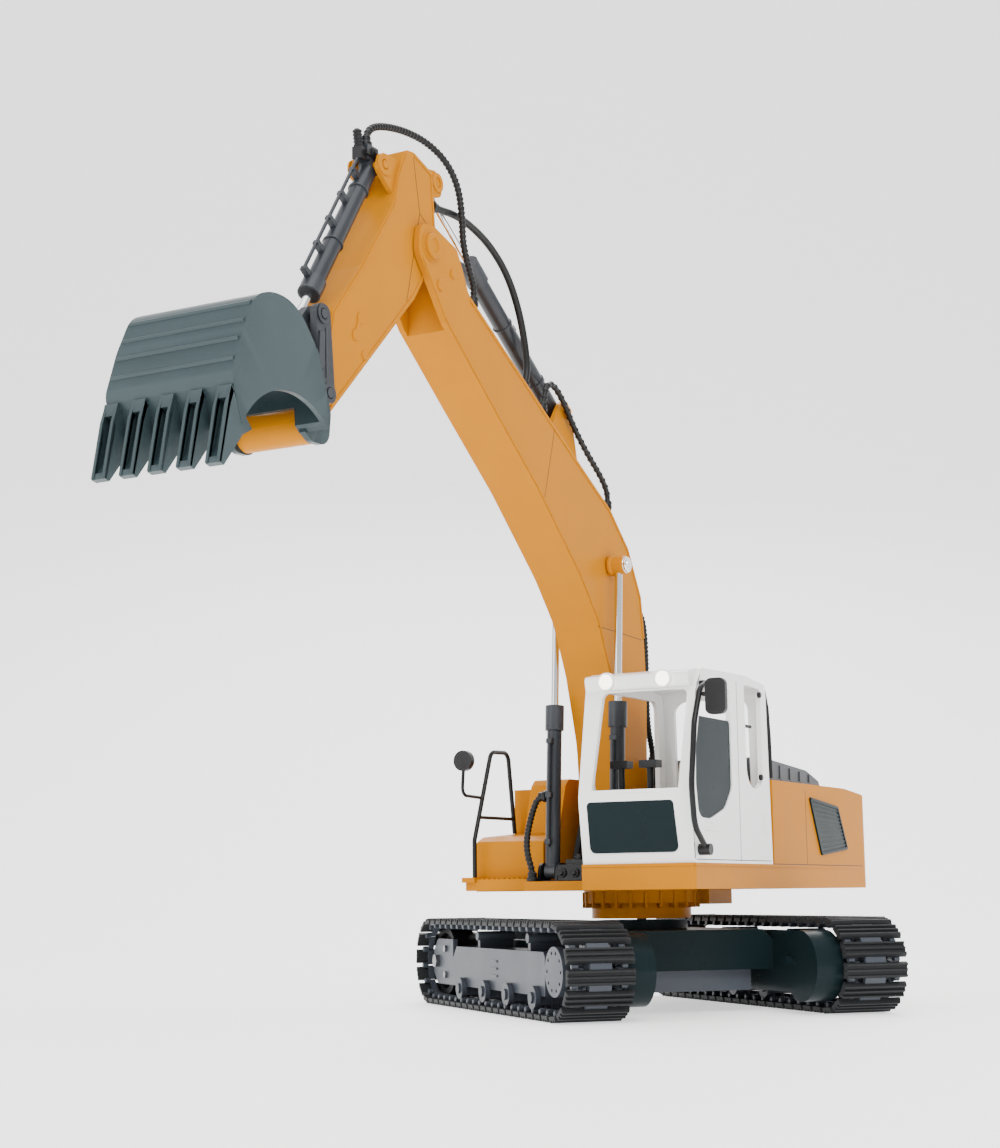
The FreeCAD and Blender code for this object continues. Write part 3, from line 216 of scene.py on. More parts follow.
class Shape:
    """Collects closed solids in millimetres and makes one piece of them."""

    def __init__(self, matrix=UPPER):
        self.mesh = bmesh.new()
        self.matrix = matrix

    def loft(self, rings, closed=False):
        """Skins rings of points that all have the same count, and caps both ends unless closed."""
        made = [[self.mesh.verts.new(point) for point in ring] for ring in rings]
        pairs = list(zip(made, made[1:]))
        if closed:
            pairs.append((made[-1], made[0]))
        for first, second in pairs:
            for n in range(len(first)):
                follow = (n + 1) % len(first)
                self.mesh.faces.new((first[n], first[follow], second[follow], second[n]))
        if not closed:
            self.mesh.faces.new(list(reversed(made[0])))
            self.mesh.faces.new(made[-1])

    def prism(self, plane, outline, low, high):
        """An outline in the plane XZ or XY, drawn out from low to high along the third axis."""
        put = {"XZ": lambda a, b, c: (a, c, b), "XY": lambda a, b, c: (a, b, c)}[plane]
        self.loft([[put(a, b, level) for a, b in outline] for level in (low, high)])

    def block(self, low, high):
        """A box between two opposite corners."""
        outline = [(low[0], low[1]), (high[0], low[1]), (high[0], high[1]), (low[0], high[1])]
        self.prism("XY", outline, low[2], high[2])

    def turned(self, start, direction, profile, sides=32):
        """A lathe shape: profile lists (distance along, radius)."""
        along = Vector(direction).normalized()
        side = along.orthogonal().normalized()
        other = along.cross(side)
        start = Vector(start)
        rings = []
        for reach, radius in profile:
            ring = []
            for n in range(sides):
                angle = 2 * math.pi * n / sides
                offset = side * math.cos(angle) + other * math.sin(angle)
                ring.append(start + along * reach + offset * radius)
            rings.append(ring)
        self.loft(rings)

    def bar(self, start, end, radius, sides=24):
        """A round bar between two points."""
        run = Vector(end) - Vector(start)
        self.turned(start, run, [(0, radius), (run.length, radius)], sides)

    def tube(self, points, radii, sides=16):
        """A tube along points, with a radius for each, turned as little as possible."""
        points = [Vector(p) for p in points]
        tangent = (points[1] - points[0]).normalized()
        side = tangent.orthogonal().normalized()
        rings = []
        for n, point in enumerate(points):
            ahead = points[min(n + 1, len(points) - 1)]
            behind = points[max(n - 1, 0)]
            tangent = (ahead - behind).normalized()
            side = (side - tangent * side.dot(tangent)).normalized()
            other = tangent.cross(side)
            ring = []
            for k in range(sides):
                angle = 2 * math.pi * k / sides
                ring.append(point + (side * math.cos(angle) + other * math.sin(angle)) * radii[n])
            rings.append(ring)
        self.loft(rings)

    def done(self, name, body, slot, bevel=0.25, smooth=SHARP_ANGLE, ride=True):
        """Makes the piece, gives it its material, and lets it ride on its body."""
        self.mesh.transform(self.matrix)
        bmesh.ops.recalc_face_normals(self.mesh, faces=self.mesh.faces)
        data = bpy.data.meshes.new(name)
        self.mesh.to_mesh(data)
        self.mesh.free()
        for face in data.polygons:
            face.use_smooth = True
        data.set_sharp_from_angle(angle=math.radians(smooth))
        item = bpy.data.objects.new(name, data)
        bpy.context.collection.objects.link(item)
        item.data.materials.append(MATERIALS[slot])
        soften(item, bevel)
        if ride:
            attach(item, body)
        return item


# ---------------------------------------------------------------- hoses
HOSE_RADIUS = 1.7
RIDGED_SPACING = 0.00044
SMOOTH_SPACING = 0.0012
HOSE_ROUTES = {
    "hose_bucket": [(244, -7.5, 374.55), (244, -7.5, 379.5), (239.5, -7.3, 385), (228, -7, 389.2),
                    (213, -6, 391.8), (198, -4, 391.2), (187.5, -0.5, 385), (182.5, 2.4, 374.5),
                    (181.5, 3.8, 361), (181.2, 3.8, 348), (175.5, 3.3, 338), (167.9, 2.7, 328.1),
                    (171.7, 2.7, 321.07)],
    "hose_stick": [(202.2, -0.4, 359.5), (194.3, -0.4, 360.2), (181, -0.1, 361.9), (166, 0.4, 360.4),
                   (150, 0.9, 355.6), (134.5, 1, 346.2), (123.5, 1, 331.5), (117.5, 1, 315),
                   (115.8, 1, 301.85), (120.3, 1, 293.48)],
    "hose_lift_front": [(46.25, -28.85, 105), (46.25, -33.6, 105), (47.5, -36, 99), (51.5, -36.3, 91),
                        (56, -35.6, 83), (58, -34, 75.5), (56.6, -32.2, 68.8), (56.6, -32.2, 63.05)],
    "hose_boom_back": [(1.2, 0.5, 201), (-5, 0.5, 202), (-9.5, 0.6, 195), (-10.5, 0.8, 182),
                       (-10, 1, 163), (-11.5, 0.3, 149), (-16, -1, 139.5), (-21.5, -2.3, 133.5),
                       (-24.3, -3, 128.4), (-24, -3, 122.97)],
    "hose_boom_top": [(106, 2.7, 285.77), (102.7, 2.7, 291.9), (100.5, 2.7, 299.5), (94, 2.7, 302.5),
                      (84, 2.7, 297.5), (71, 2.7, 284.5), (57, 2.7, 274.2), (42.5, 2.7, 265.5),
                      (36, 2.7, 259.5), (34.6, 2.7, 253.9), (37.3, 2.7, 249.7)],
}
# name: (body that holds its start, body that its end goes to or None where it stays on the first,
# steps in each ridge or 0 where it is smooth)
HOSE_BODIES = {
    "hose_bucket": ("stick", "boom", 5),
    "hose_stick": ("stick", "boom", 0),
    "hose_lift_front": ("lift_barrels", "upper", 5),
    "hose_boom_back": ("boom", "upper", 5),
    "hose_boom_top": ("boom", None, 9),
}


def spline_points(route):
    """The smooth line of a hose, read from a NURBS curve with the route as its control points."""
    data = bpy.data.curves.new("route", "CURVE")
    data.dimensions = "3D"
    data.resolution_u = 24
    spline = data.splines.new("NURBS")
    spline.points.add(len(route) - 1)
    for control, point in zip(spline.points, route):
        control.co = (*place(*point), 1)
    spline.order_u = 3
    spline.use_endpoint_u = True
    item = bpy.data.objects.new("route", data)
    bpy.context.collection.objects.link(item)
    bpy.context.view_layer.update()
    mesh = bpy.data.meshes.new_from_object(item)
    points = [vertex.co.copy() for vertex in mesh.vertices]
    bpy.data.objects.remove(item)
    bpy.data.meshes.remove(mesh)
    return points


def even_points(points, spacing):
    """The same line with points at even spacing, for the ridges of a corrugated hose."""
    total = sum((b - a).length for a, b in zip(points, points[1:]))
    count = max(round(total / spacing), 2)
    result = [points[0]]
    walked = 0.0
    wanted = total / count
    for before, after in zip(points, points[1:]):
        length = (after - before).length
        while len(result) < count and walked + length >= wanted * len(result) - 1e-9:
            share = (wanted * len(result) - walked) / length if length else 0
            result.append(before.lerp(after, share))
        walked += length
    result.append(points[-1])
    return result


def ridge_share(step):
    """Share of the full radius at a step of a ridge: the crest, its slope and the groove."""
    if step < 2:
        return 1.0
    return 0.80 if step > 2 else 0.9


def hoses():
    """The free hoses, each a tube along its smooth line; one that stays on a single body rides on it, the
    others stay fixed where they are built.
    """
    radius = HOSE_RADIUS / 1000
    for name, route in HOSE_ROUTES.items():
        holder, far, steps = HOSE_BODIES[name]
        line = even_points(spline_points(route), RIDGED_SPACING if steps else SMOOTH_SPACING)
        radii = [radius] * len(line)
        if steps:
            radii = [radius * ridge_share(n % steps) for n in range(len(line))]
        shape = Shape(Matrix.Identity(4))
        shape.tube(line, radii, 18)
        item = shape.done(name + "_tube", holder, "hose_rubber", bevel=0, smooth=80, ride=far is None)
        if far:
            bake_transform(item)
        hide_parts(name)


hoses()


# ---------------------------------------------------------------- tracks
WHEELBASE = 184.2
GAUGE = 137.7
WHEEL_Z = 22.3
BAND = 20.2
TREAD = 22.3
SHOE_WIDTH = 33.0
SHOE_PITCH = 9.6
RIB_PLACES = (-3.0, -0.3, 2.3)
RIB_HALF = 0.75
CHAIN_Y = 9.2
PIN_Y = 10.5
PIN_RADIUS = 18.6
# low and high radius round the wheel, start and end along the belt
PAD = (19.5, 21.1, -4.1, 3.3)
HORN = (18.9, 20.7, -2.6, 2.6)
LINK = (17.2, 19.8, -3.9, 3.9)


def belt_frame(along):
    """Point on the band and the outward and forward directions at a distance round the loop."""
    bend = math.pi * BAND
    half = WHEELBASE / 2
    along %= 2 * (WHEELBASE + bend)
    if along < WHEELBASE:
        return Vector((along - half, 0, WHEEL_Z)), Vector((0, 0, -1)), Vector((1, 0, 0))
    along -= WHEELBASE
    if along < bend:
        angle = -math.pi / 2 + along / BAND
        out = Vector((math.cos(angle), 0, math.sin(angle)))
        return Vector((half, 0, WHEEL_Z)), out, Vector((-out.z, 0, out.x))
    along -= bend
    if along < WHEELBASE:
        return Vector((half - along, 0, WHEEL_Z)), Vector((0, 0, 1)), Vector((-1, 0, 0))
    angle = math.pi / 2 + (along - WHEELBASE) / BAND
    out = Vector((math.cos(angle), 0, math.sin(angle)))
    return Vector((-half, 0, WHEEL_Z)), out, Vector((-out.z, 0, out.x))


def shoe_block(shape, along, y, low, high, start, end, half_width, taper=0.0):
    """A block on the belt: radii low to high, from start to end along it, about the line y."""
    centre, out, ahead = belt_frame(along)
    rings = []
    for reach, inset in ((low, 0.0), (high, taper)):
        ring = []
        for step, side in ((start + inset, -1), (end - inset, -1), (end - inset, 1), (start + inset, 1)):
            across = Vector((0, y + side * (half_width - inset), 0))
            ring.append(centre + out * reach + ahead * step + across)
        rings.append(ring)
    shape.loft(rings)


def tracks():
    """Belts of ribbed shoes in place of the plain ones, with the chain of links and pins inside."""
    loop = 2 * (WHEELBASE + math.pi * BAND)
    count = round(loop / SHOE_PITCH)
    step = loop / count
    for name, side in (("left", 1), ("right", -1)):
        y = side * GAUGE / 2
        pads = Shape(UNDER)
        links = Shape(UNDER)
        for n in range(count):
            along = (n + 0.5) * step
            shoe_block(pads, along, y, *PAD, SHOE_WIDTH / 2, 0.25)
            for rib in RIB_PLACES:
                shoe_block(pads, along, y, 21.0, TREAD, rib - RIB_HALF, rib + RIB_HALF,
                           SHOE_WIDTH / 2 - 0.2, 0.35)
            shoe_block(links, along + step / 2, y, *HORN, 5.6, 0.3)
            for edge in (-CHAIN_Y, CHAIN_Y):
                shoe_block(links, along, y + edge, *LINK, 1.5, 0.5)
            middle, out, _ = belt_frame(along + step / 2)
            for edge in (-1, 1):
                pin = middle + out * PIN_RADIUS
                pin.y = y + edge * PIN_Y
                links.turned(pin, (0, edge, 0), [(0, 1.5), (2.6, 1.5), (3.0, 1.1)], 10)
        item = pads.done("track_pads_" + name, "undercarriage", "track_black", bevel=0)
        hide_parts("track_belt_" + name)
        links.done("track_links_" + name, "undercarriage", "frame_grey", bevel=0)


tracks()


# ---------------------------------------------------------------- edges of the CAD pieces
USUAL_EDGE = 0.2
SOFT_EDGES = {
    "deck": 0.8, "engine_house": 1.0, "engine_hood": 0.8, "side_tank": 0.9, "cab_shell": 0.8,
    "cab_panels": 0.25, "boom_left_shell": 1.0, "boom_right_shell": 1.0, "stick_shells": 0.8,
    "bucket": 0.45, "carbody": 1.0, "battery_box": 0.6, "track_frames": 0.5, "idler_brackets": 0.5,
    "drive_covers": 1.2, "boom_bracket": 0.5, "lift_clevises": 0.4, "lift_barrels": 0.3,
    "stick_barrel": 0.3, "bucket_barrel": 0.3, "rocker": 0.5, "bucket_link": 0.5, "seat": 0.8,
    "joysticks": 0.5, "slew_skirt": 0.5, "grab_rail": 0.3, "round_mirror": 0.4, "lift_rods": 0.4,
    "idler_left": 0.4, "idler_right": 0.4, "sprocket_left": 0.3, "sprocket_right": 0.3,
    "undercarriage_bolts": 0.25, "cab_lamps": 0.4,
}
for name, item in frame["nodes"].items():
    soften(item, SOFT_EDGES.get(name, USUAL_EDGE))


# ---------------------------------------------------------------- details of the upper structure
DECK_HALF = 72.8
DECK_REAR = -133
HOUSE_TOP = 111.5
SLOT_FLOOR = 63.0
LAMP_YS = (30, 59)
LAMP_Z = 154.2


def skin(face, side, sunk, proud):
    """From sunk below a face to proud of it, low end first, where side is the way out of it."""
    return sorted((face - side * sunk, face + side * proud))


def strip(shape, points, width, y_low, y_high):
    """A flat band that follows a line of (x, z) points, between two places across the machine."""
    left = []
    right = []
    for n, (x, z) in enumerate(points):
        before = Vector(points[max(n - 1, 0)])
        after = Vector(points[min(n + 1, len(points) - 1)])
        run = (after - before).normalized()
        left.append((x - run.y * width / 2, z + run.x * width / 2))
        right.append((x + run.y * width / 2, z - run.x * width / 2))
    for n in range(len(points) - 1):
        shape.prism("XZ", [left[n], left[n + 1], right[n + 1], right[n]], y_low, y_high)


def flat_ring(shape, x, z, inner, outer, y_low, y_high):
    """A flat ring about an axis that lies across the machine."""
    sides = 36
    loops = []
    for radius, y in ((inner, y_low), (outer, y_low), (outer, y_high), (inner, y_high)):
        loops.append([(x + radius * math.cos(2 * math.pi * n / sides), y,
                       z + radius * math.sin(2 * math.pi * n / sides)) for n in range(sides)])
    shape.loft(loops, closed=True)


def deck_trim():
    """Raised strips along the deck's lower edge and the grip bars of its step."""
    shape = Shape()
    side = DECK_HALF
    low, high = 68.7, 70.0
    for x_low, x_high in ((DECK_REAR, 18), (18.3, 61), (61.3, 97.3)):
        shape.block((x_low, side - 0.4, low), (x_high, side + 0.45, high))
    shape.block((97.0, 16.3, low), (97.9, side - 0.3, high))
    shape.block((DECK_REAR, -side - 0.45, low), (41, -side + 0.4, high))
    first, pitch, count, width = -71.5, 2.9, 12, 1.2
    for n in range(count):
        y = first + n * pitch
        shape.block((41.6, y, 64.4), (49.2, y + width, 65.1))
    shape.done("deck_trim", "upper", "orange_body", bevel=0.15)


def seams():
    """Dark lines where the panels of the engine house and the cab meet."""
    dark = Shape()
    side = DECK_HALF
    for y_low, y_high in ((side - 0.2, side + 0.06), (-side - 0.06, -side + 0.2)):
        strip(dark, [(-46, 70.4), (-46, 108)], 0.35, y_low, y_high)
        strip(dark, [(-131, 70.2), (1, 70.2)], 0.35, y_low, y_high)
    strip(dark, [(42.5, 71), (42.5, 156.5)], 0.35, side - 0.2, side + 0.06)
    strip(dark, [(96.3, 72), (99.2, 100), (90.5, 149), (86, 156)], 0.35, side - 0.2, side + 0.06)
    strip(dark, [(4, 71.6), (95, 71.6)], 0.35, side - 0.2, side + 0.06)
    dark.done("panel_seams", "upper", "dark_teal", bevel=0)


def cab_trim():
    """The cab's handle, steps and sill, its dark hose, bolts and rests, and the lamps' bezels."""
    white = Shape()
    side = DECK_HALF
    white.block((9, side - 0.3, 84), (12, side + 1.3, 93.5))
    for z in (84.6, 88.2):
        white.block((70, side - 0.3, z), (84, side + 0.5, z + 1.6))
    white.tube([(97.6, 18.2, 101.2), (98.3, 44, 101.2), (97.6, 70.6, 101.2)], [1.7, 1.9, 1.7], 20)
    white.done("cab_trim", "upper", "white_cab", bevel=0.35)
    black = Shape()
    rail = [(3.6, 71.4, 156), (0.3, 71.6, 147), (-1.4, 71.6, 132), (-2.2, 71.6, 112.5)]
    black.tube(rail, [0.95] * 4, 14)
    for x, z in ((13.5, 152.5), (14.5, 112)):
        black.turned((x, side - 0.6, z), (0, 1, 0), [(0, 1.5), (1.2, 1.5), (1.7, 1.1)], 18)
    black.bar((14, 68, 137), (33, 68, 137), 0.8, 14)
    for y in (29, 57):
        black.block((96.2, y - 1.6, 96.4), (98.9, y + 1.6, 99.8))
    black.done("cab_fittings", "upper", "black_trim", bevel=0.2)
    bezels = Shape()
    for y in LAMP_YS:
        loops = []
        for radius, x in ((3.5, 95.9), (4.5, 95.9), (4.3, 97.3), (3.5, 97.5)):
            loops.append([(x, y + radius * math.cos(2 * math.pi * n / 36),
                           LAMP_Z + radius * math.sin(2 * math.pi * n / 36)) for n in range(36)])
        bezels.loft(loops, closed=True)
    bezels.done("lamp_bezels", "upper", "white_cab", bevel=0.1)


def grille(name, side):
    """A framed intake with slanted slats."""
    corners = [(-52, 104), (-92.7, 100.6), (-105.6, 79.5), (-66.6, 76)]
    rows = 11
    shape = Shape()
    face = side * DECK_HALF
    shape.prism("XZ", corners, *sorted((face + side * 0.02, face + side * 0.4)))
    near, far = sorted((face, face + side * 0.95))
    for first, second in zip(corners, corners[1:] + corners[:1]):
        strip(shape, [first, second], 1.5, near, far)
    for n in range(1, rows):
        share = n / rows
        start = [a + (b - a) * share for a, b in zip(corners[0], corners[3])]
        end = [a + (b - a) * share for a, b in zip(corners[1], corners[2])]
        strip(shape, [start, end], 0.9, *sorted((face + side * 0.3, face + side * 0.75)))
    return shape.done(name, "upper", "dark_teal", bevel=0.12)


def grilles():
    """The intakes on both flanks of the engine house."""
    left = grille("grille_left", 1)
    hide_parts("engine_grilles")
    grille("grille_right", -1)


def valve_block():
    """The block in front of the boom's foot, with ports on its front and caps on its top."""
    shape = Shape()
    shape.block((44, -17, SLOT_FLOOR + 0.05), (58.5, 2, 71))
    shape.block((46.5, -14, 70.8), (56, -1, 73.5))
    for y in (-14.5, -7.5, -0.5):
        shape.turned((58.4, y, 67), (1, 0, 0), [(0, 2.3), (1.2, 2.3), (1.2, 1.3), (2.2, 1.1)], 18)
    for x, y in ((49, -11), (49, -4), (54, -7.5)):
        shape.turned((x, y, 73.4), (0, 0, 1), [(0, 1.9), (1.6, 1.9), (1.6, 1.2), (2.6, 1.2)], 6)
    shape.done("valve_block", "upper", "black_trim", bevel=0.4)


# ---------------------------------------------------------------- details of the boom, stick and bucket
BOOM_HALF = 12.3
STICK_HALF = 9.0
EAR_HALF = 7.6
FOOT_HALF = 7.3
LEVER_HALF = 12.6
TEETH = 5
TOOTH_PITCH = 12.9
# (x, z) of the pins
FOOT_PIN = (11, 92)
STICK_PIN = (210.5, 337.5)
STICK_BARREL_PIN = (74, 292.5)
STICK_ROD_PIN = (197, 372)
LIFT_PIN = (39, 219.5)
CURL_PIN = (241, 366)
LEVER_TOP = (293.9, 285.2)
LEVER_FOOT = (289.5, 253.7)
BOOM_TOP = [(0.5, 187), (3.6, 208), (17.6, 231.3), (37.8, 248.6), (59.8, 259.9), (101.3, 281.7),
            (176.5, 322.2)]
BOOM_SPINE = [(-0.1, 185), (3.0, 209), (17, 232.4), (37.3, 249.6), (59.4, 261.1), (101, 282.9),
              (176, 323.2)]
BOOM_LOW = [(28.5, 130), (39.6, 165.4), (52.4, 191), (71.5, 211.6), (114.8, 247.7), (160.4, 280.2),
            (197.4, 307.4), (217, 330.6)]
STICK_BACK = [(204.6, 372.6), (201.7, 339), (219.6, 313.4), (300.5, 232.2)]
STICK_FRONT = [(283.4, 278), (280.8, 289.5), (260.4, 314.4), (235, 349), (231.3, 363.6), (225, 376)]


def stud(shape, x, z, radius, face, side, height):
    """A low round stud with a chamfered rim."""
    shape.turned((x, face - side * 0.2, z), (0, side, 0),
                 [(0, radius), (height, radius), (height + 0.3, radius * 0.8)], 24)


def boom_trim():
    """Raised edge lines, rings and studs on the boom's flanks, and its dark seams."""
    shape = Shape()
    dark = Shape()
    for side in (1, -1):
        face = BOOM_Y + side * BOOM_HALF
        near, far = skin(face, side, 0.3, 0.45)
        strip(shape, BOOM_TOP, 1.5, near, far)
        strip(shape, BOOM_LOW, 1.1, near, far)
        flat_ring(shape, *STICK_PIN, 3.6, 7.0, near, far)
        flat_ring(shape, *FOOT_PIN, 7.0, 11.5, *skin(face, side, 0.3, 0.35))
        for x, z, radius in ((203, 322, 2.6), (192, 330, 2.1)):
            stud(shape, x, z, radius, face, side, 0.7)
        near, far = skin(face, side, 0.2, 0.05)
        strip(dark, [(96, 279), (108, 241.5)], 0.3, near, far)
        strip(dark, [(2, 186), (53, 187.5)], 0.3, near, far)
    strip(dark, BOOM_SPINE, 0.3, BOOM_Y - 0.15, BOOM_Y + 0.15)
    shape.done("boom_trim", "boom", "orange_body", bevel=0.15)
    dark.done("boom_seams", "boom", "dark_teal", bevel=0)


def stick_trim():
    """Raised edge lines, studs and pin rings on the stick's flanks, and its dark seams."""
    shape = Shape()
    dark = Shape()
    for side in (1, -1):
        face = BOOM_Y + side * STICK_HALF
        near, far = skin(face, side, 0.3, 0.4)
        strip(shape, STICK_BACK, 1.2, near, far)
        strip(shape, STICK_FRONT, 0.8, near, far)
        strip(shape, [(204, 372.8), (218.6, 377)], 1.2, near, far)
        for x, z, radius in ((262, 292, 2.3), (265.5, 284, 2.3), (259, 277, 1.9)):
            stud(shape, x, z, radius, face, side, 0.6)
        strip(shape, [(262, 292), (265.5, 284)], 2.0, *skin(face, side, 0.2, 0.5))
        ears = skin(BOOM_Y + side * EAR_HALF, side, 0.3, 0.6)
        flat_ring(shape, *CURL_PIN, 2.4, 4.8, *ears)
        flat_ring(shape, *STICK_ROD_PIN, 2.4, 4.4, *ears)
        near, far = skin(face, side, 0.2, 0.05)
        strip(dark, [(219.5, 376), (214.5, 352), (203.5, 346)], 0.3, near, far)
        strip(dark, [(214.5, 352), (225.5, 309)], 0.3, near, far)
    shape.done("stick_trim", "stick", "orange_body", bevel=0.12)
    dark.done("stick_seams", "stick", "dark_teal", bevel=0)


def capped(shape, x, z, radius, face, side):
    """A pin head with a sunk centre."""
    profile = [(0, radius), (1.4, radius), (1.9, radius - 0.5), (1.9, radius * 0.62),
               (1.2, radius * 0.56), (1.2, 0.3)]
    shape.turned((x, face, z), (0, side, 0), profile, 40)


def pin_caps():
    """The heads of the boom's pins, and the orange sleeves with chrome ends on the lift pins."""
    shape = Shape()
    sleeves = Shape()
    chrome = Shape()
    lift_x, lift_z = LIFT_PIN
    sleeve = [(0, 4.6), (0.8, 5.2), (2.0, 5.2), (2.6, 4.6), (8.2, 4.6), (8.8, 4.3)]
    for side in (1, -1):
        capped(shape, *STICK_PIN, 5.7, BOOM_Y + side * (BOOM_HALF + 0.3), side)
        capped(shape, *STICK_BARREL_PIN, 3.0, BOOM_Y + side * FOOT_HALF, side)
        start = (lift_x, BOOM_Y + side * (BOOM_HALF + 0.35), lift_z)
        sleeves.turned(start, (0, side, 0), sleeve, 32)
        tip = (lift_x, BOOM_Y + side * (BOOM_HALF + 9.2), lift_z)
        chrome.turned(tip, (0, side, 0), [(0, 3.9), (1.2, 3.9), (1.7, 3.4), (1.7, 2.4)], 32)
    shape.done("pin_caps", "boom", "orange_body", bevel=0.12)
    sleeves.done("lift_sleeves", "lift_rods", "orange_body", bevel=0.12)
    chrome.done("lift_pin_ends", "lift_rods", "steel_rod", bevel=0.12)


def tooth_channels():
    """Raised edges on both sides of the channel in each of the bucket's teeth."""
    shape = Shape()
    outline = [(374.4, 236.2), (377.1, 228.4), (381.3, 206.9), (379.6, 206.6), (375.0, 227.5),
               (372.5, 234.5)]
    for n in range(TEETH):
        y = BOOM_Y + (n - TEETH // 2) * TOOTH_PITCH
        for edge in (-2.5, 2.5):
            shape.prism("XZ", outline, y + edge - 0.6, y + edge + 0.6)
    shape.done("bucket_edges", "bucket", "slate_bucket", bevel=0.2)


def ridged(shape, start, direction, count, pitch, crest):
    """A short corrugated stub: round ridges one after another, closed by a small cap."""
    profile = [(0, crest * 0.8)]
    for n in range(count):
        low = n * pitch
        profile += [(low + pitch * 0.2, crest * 0.8), (low + pitch * 0.4, crest),
                    (low + pitch * 0.8, crest), (low + pitch, crest * 0.8)]
    profile.append((count * pitch + 0.6, crest * 0.5))
    shape.turned(start, direction, profile, 20)


def barrel_rings(name, body, foot, end, radius, places):
    """Clamp rings round a barrel: places lists (distance from its foot, length)."""
    shape = Shape()
    foot = Vector((foot[0], BOOM_Y, foot[1]))
    run = (Vector((end[0], BOOM_Y, end[1])) - foot).normalized()
    for reach, length in places:
        profile = [(0, radius), (0.3, radius + 0.5), (length - 0.3, radius + 0.5), (length, radius)]
        shape.turned(foot + run * reach, run, profile, 36)
    shape.done(name, body, "barrel_grey", bevel=0.1)


def cylinder_details():
    """The manifold on the bucket cylinder, with its spare stub, and the clamp rings on the barrels."""
    black = Shape()
    black.block((238.0, BOOM_Y - 3.8, 369.2), (248.4, BOOM_Y + 3.8, 371.4))
    black.block((246.8, BOOM_Y - 2.4, 367.0), (251.0, BOOM_Y + 2.4, 372.6))
    ridged(black, (249.4, BOOM_Y, 372.4), (0.16, 0, 0.98), 5, 1.5, 2.1)
    for side in (1, -1):
        start = (243, BOOM_Y + side * 2.9, 371.3)
        black.turned(start, (0, side, 0), [(0, 2.2), (1.4, 2.2), (1.4, 1.3), (2.3, 1.3)], 6)
    black.done("cylinder_manifold", "bucket_barrel", "black_trim", bevel=0.2)
    barrel_rings("bucket_barrel_rings", "bucket_barrel", CURL_PIN, LEVER_TOP, 4.1,
                 [(15, 1.6), (50, 1.2), (77, 5.0)])
    barrel_rings("stick_barrel_rings", "stick_barrel", STICK_BARREL_PIN, STICK_ROD_PIN, 4.5,
                 [(22, 1.6), (60, 1.2), (92, 7.0)])


def lever_details():
    """Raised panels and bosses on the outer faces of the levers beside the stick."""
    shape = Shape()
    for side in (1, -1):
        face = BOOM_Y + side * LEVER_HALF
        near, far = skin(face, side, 0.3, 0.6)
        flat_ring(shape, *LEVER_TOP, 2.4, 4.0, near, far)
        flat_ring(shape, *LEVER_FOOT, 2.4, 4.2, near, far)
        strip(shape, [(294.9, 277.6), (295.6, 262.6)], 3.6, near, far)
        strip(shape, [(291.8, 280.0), (291.3, 259.4)], 0.9, *skin(face, side, 0.3, 0.3))
    shape.done("lever_panels", "rocker", "barrel_grey", bevel=0.12)


def hood_ribs():
    """Upright ribs on the flanks of the engine hood, and a low rail along each flank's foot."""
    shape = Shape()
    front, height = -6, 12.5
    fall, run = 4, 66
    for y_low, y_high in ((63.7, 64.6), (-34.6, -33.7)):
        for x in (-20, -34, -48, -62, -76):
            top = HOUSE_TOP + height - (front - x) * fall / run - 1.6
            shape.block((x - 0.8, y_low, HOUSE_TOP + 0.6), (x + 0.8, y_high, top))
        strip(shape, [(-8, HOUSE_TOP + 1.4), (-89, HOUSE_TOP + 1.4)], 1.6, y_low, y_high)
    shape.done("hood_ribs", "upper", "hood_grey", bevel=0.2)


def skirt_fins():
    """Upright fins round the flange of the slewing skirt."""
    shape = Shape()
    count = 24
    inner, outer, half = 25.0, 29.9, 0.7
    low, high = 49.6, 57.6
    for n in range(count):
        angle = math.radians(360 // count * n)
        out = Vector((math.cos(angle), math.sin(angle)))
        aside = Vector((-out.y, out.x)) * half
        corners = [out * inner - aside, out * outer - aside, out * outer + aside, out * inner + aside]
        shape.prism("XY", [tuple(corner) for corner in corners], low, high)
    shape.done("skirt_fins", "upper", "orange_body", bevel=0.2)


def hose_fittings():
    """A collar at each end of each hose, held by the piece that the hose meets."""
    for name, route in HOSE_ROUTES.items():
        holder, far, _ = HOSE_BODIES[name]
        start_body = "bucket_barrel" if name == "hose_bucket" else holder
        for label, end, inward, body in (("start", route[0], route[1], start_body),
                                         ("end", route[-1], route[-2], far or holder)):
            shape = Shape()
            run = Vector(inward) - Vector(end)
            reach = min(run.length, 5.0)
            profile = [(0.05, 2.9), (reach * 0.35, 2.9), (reach * 0.4, 2.3), (reach * 0.85, 2.3),
                       (reach * 0.9, 1.9)]
            shape.turned(end, run, profile, 20)
            shape.done("%s_fitting_%s" % (name, label), body, "black_trim", bevel=0.15)


for make in (deck_trim, seams, cab_trim, grilles, valve_block, boom_trim, stick_trim, pin_caps,
             tooth_channels, cylinder_details, lever_details, hood_ribs, skirt_fins, hose_fittings):
    make()


# ---------------------------------------------------------------- studio
FLOOR_FRONT = -6.0
FLOOR_BACK = 0.45
CURVE_RADIUS = 2.4
CURVE_STEPS = 30
WALL_TOP = 6.0
FLOOR_HALF_WIDTH = 6
FLOOR_DROP = 0.0002
BACKDROP_LIGHT = 0.9
WORLD_LIGHT = 0.9
AIM = (0, 0, 0.18)
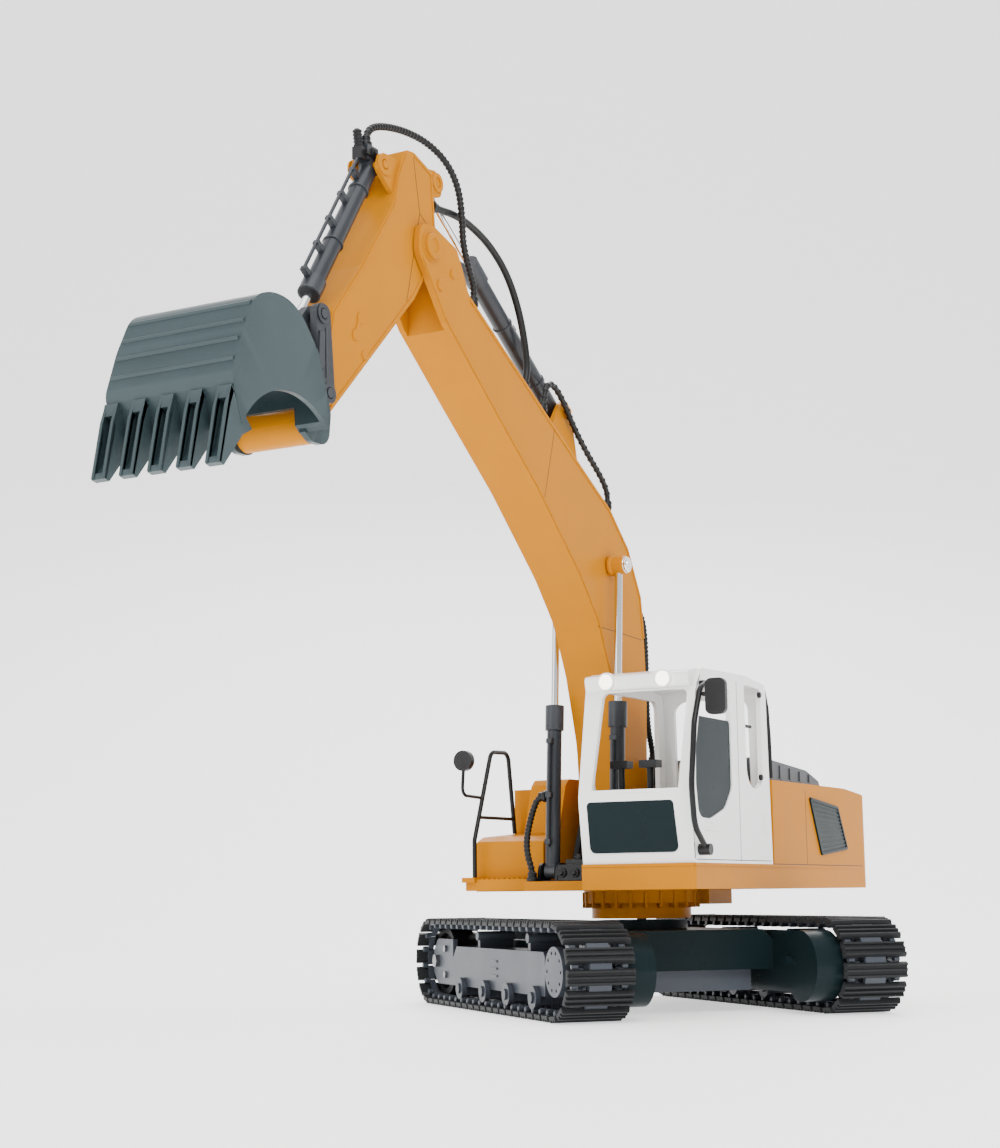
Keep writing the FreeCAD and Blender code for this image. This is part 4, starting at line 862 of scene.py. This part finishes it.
# (name, place, size, power)
LAMPS = [("key", (1.2, 1.1, 1.5), 1.1, 34), ("fill", (1.5, -0.8, 0.7), 1.4, 12),
         ("rim", (-1.2, -0.6, 1.5), 1.2, 24), ("top", (0.1, 0.2, 2.0), 1.8, 24)]


def backdrop():
    """A pale floor that curves up into a wall behind the part."""
    profile = [(FLOOR_FRONT, 0.0), (FLOOR_BACK, 0.0)]
    for n in range(1, CURVE_STEPS + 1):
        angle = math.radians(90 * n / CURVE_STEPS)
        profile.append((FLOOR_BACK + CURVE_RADIUS * math.sin(angle),
                        CURVE_RADIUS - CURVE_RADIUS * math.cos(angle)))
    profile.append((FLOOR_BACK + CURVE_RADIUS, WALL_TOP))
    mesh = bmesh.new()
    across = Vector((-CAMERA_FORWARD.y, CAMERA_FORWARD.x, 0)).normalized()
    away = Vector((CAMERA_FORWARD.x, CAMERA_FORWARD.y, 0)).normalized()
    rows = []
    for reach, height in profile:
        rise = Vector((0, 0, height - FLOOR_DROP))
        rows.append([mesh.verts.new(away * reach + across * side + rise)
                     for side in (-FLOOR_HALF_WIDTH, FLOOR_HALF_WIDTH)])
    for first, second in zip(rows, rows[1:]):
        mesh.faces.new((first[0], first[1], second[1], second[0]))
    data = bpy.data.meshes.new("floor")
    mesh.to_mesh(data)
    mesh.free()
    for face in data.polygons:
        face.use_smooth = True
    floor = bpy.data.objects.new("floor", data)
    bpy.context.collection.objects.link(floor)
    paint = grained("floor_paint", (0.86, 0.86, 0.86), 0.6, mottle=0.01, bump=0.01)
    glow(paint, (1, 1, 1, 1), BACKDROP_LIGHT)
    data.materials.append(paint)


def lights():
    """Soft white light from all round, and four area lamps."""
    world = bpy.data.worlds.new("studio")
    bpy.context.scene.world = world
    world.use_nodes = True
    background = world.node_tree.nodes["Background"]
    background.inputs["Color"].default_value = (1.0, 1.0, 1.0, 1)
    background.inputs["Strength"].default_value = WORLD_LIGHT
    for name, where, size, power in LAMPS:
        lamp = bpy.data.lights.new(name, "AREA")
        lamp.size = size
        lamp.energy = power
        item = bpy.data.objects.new(name, lamp)
        bpy.context.collection.objects.link(item)
        item.location = where
        item.rotation_euler = (Vector(AIM) - Vector(where)).to_track_quat("-Z", "Y").to_euler()


backdrop()
lights()
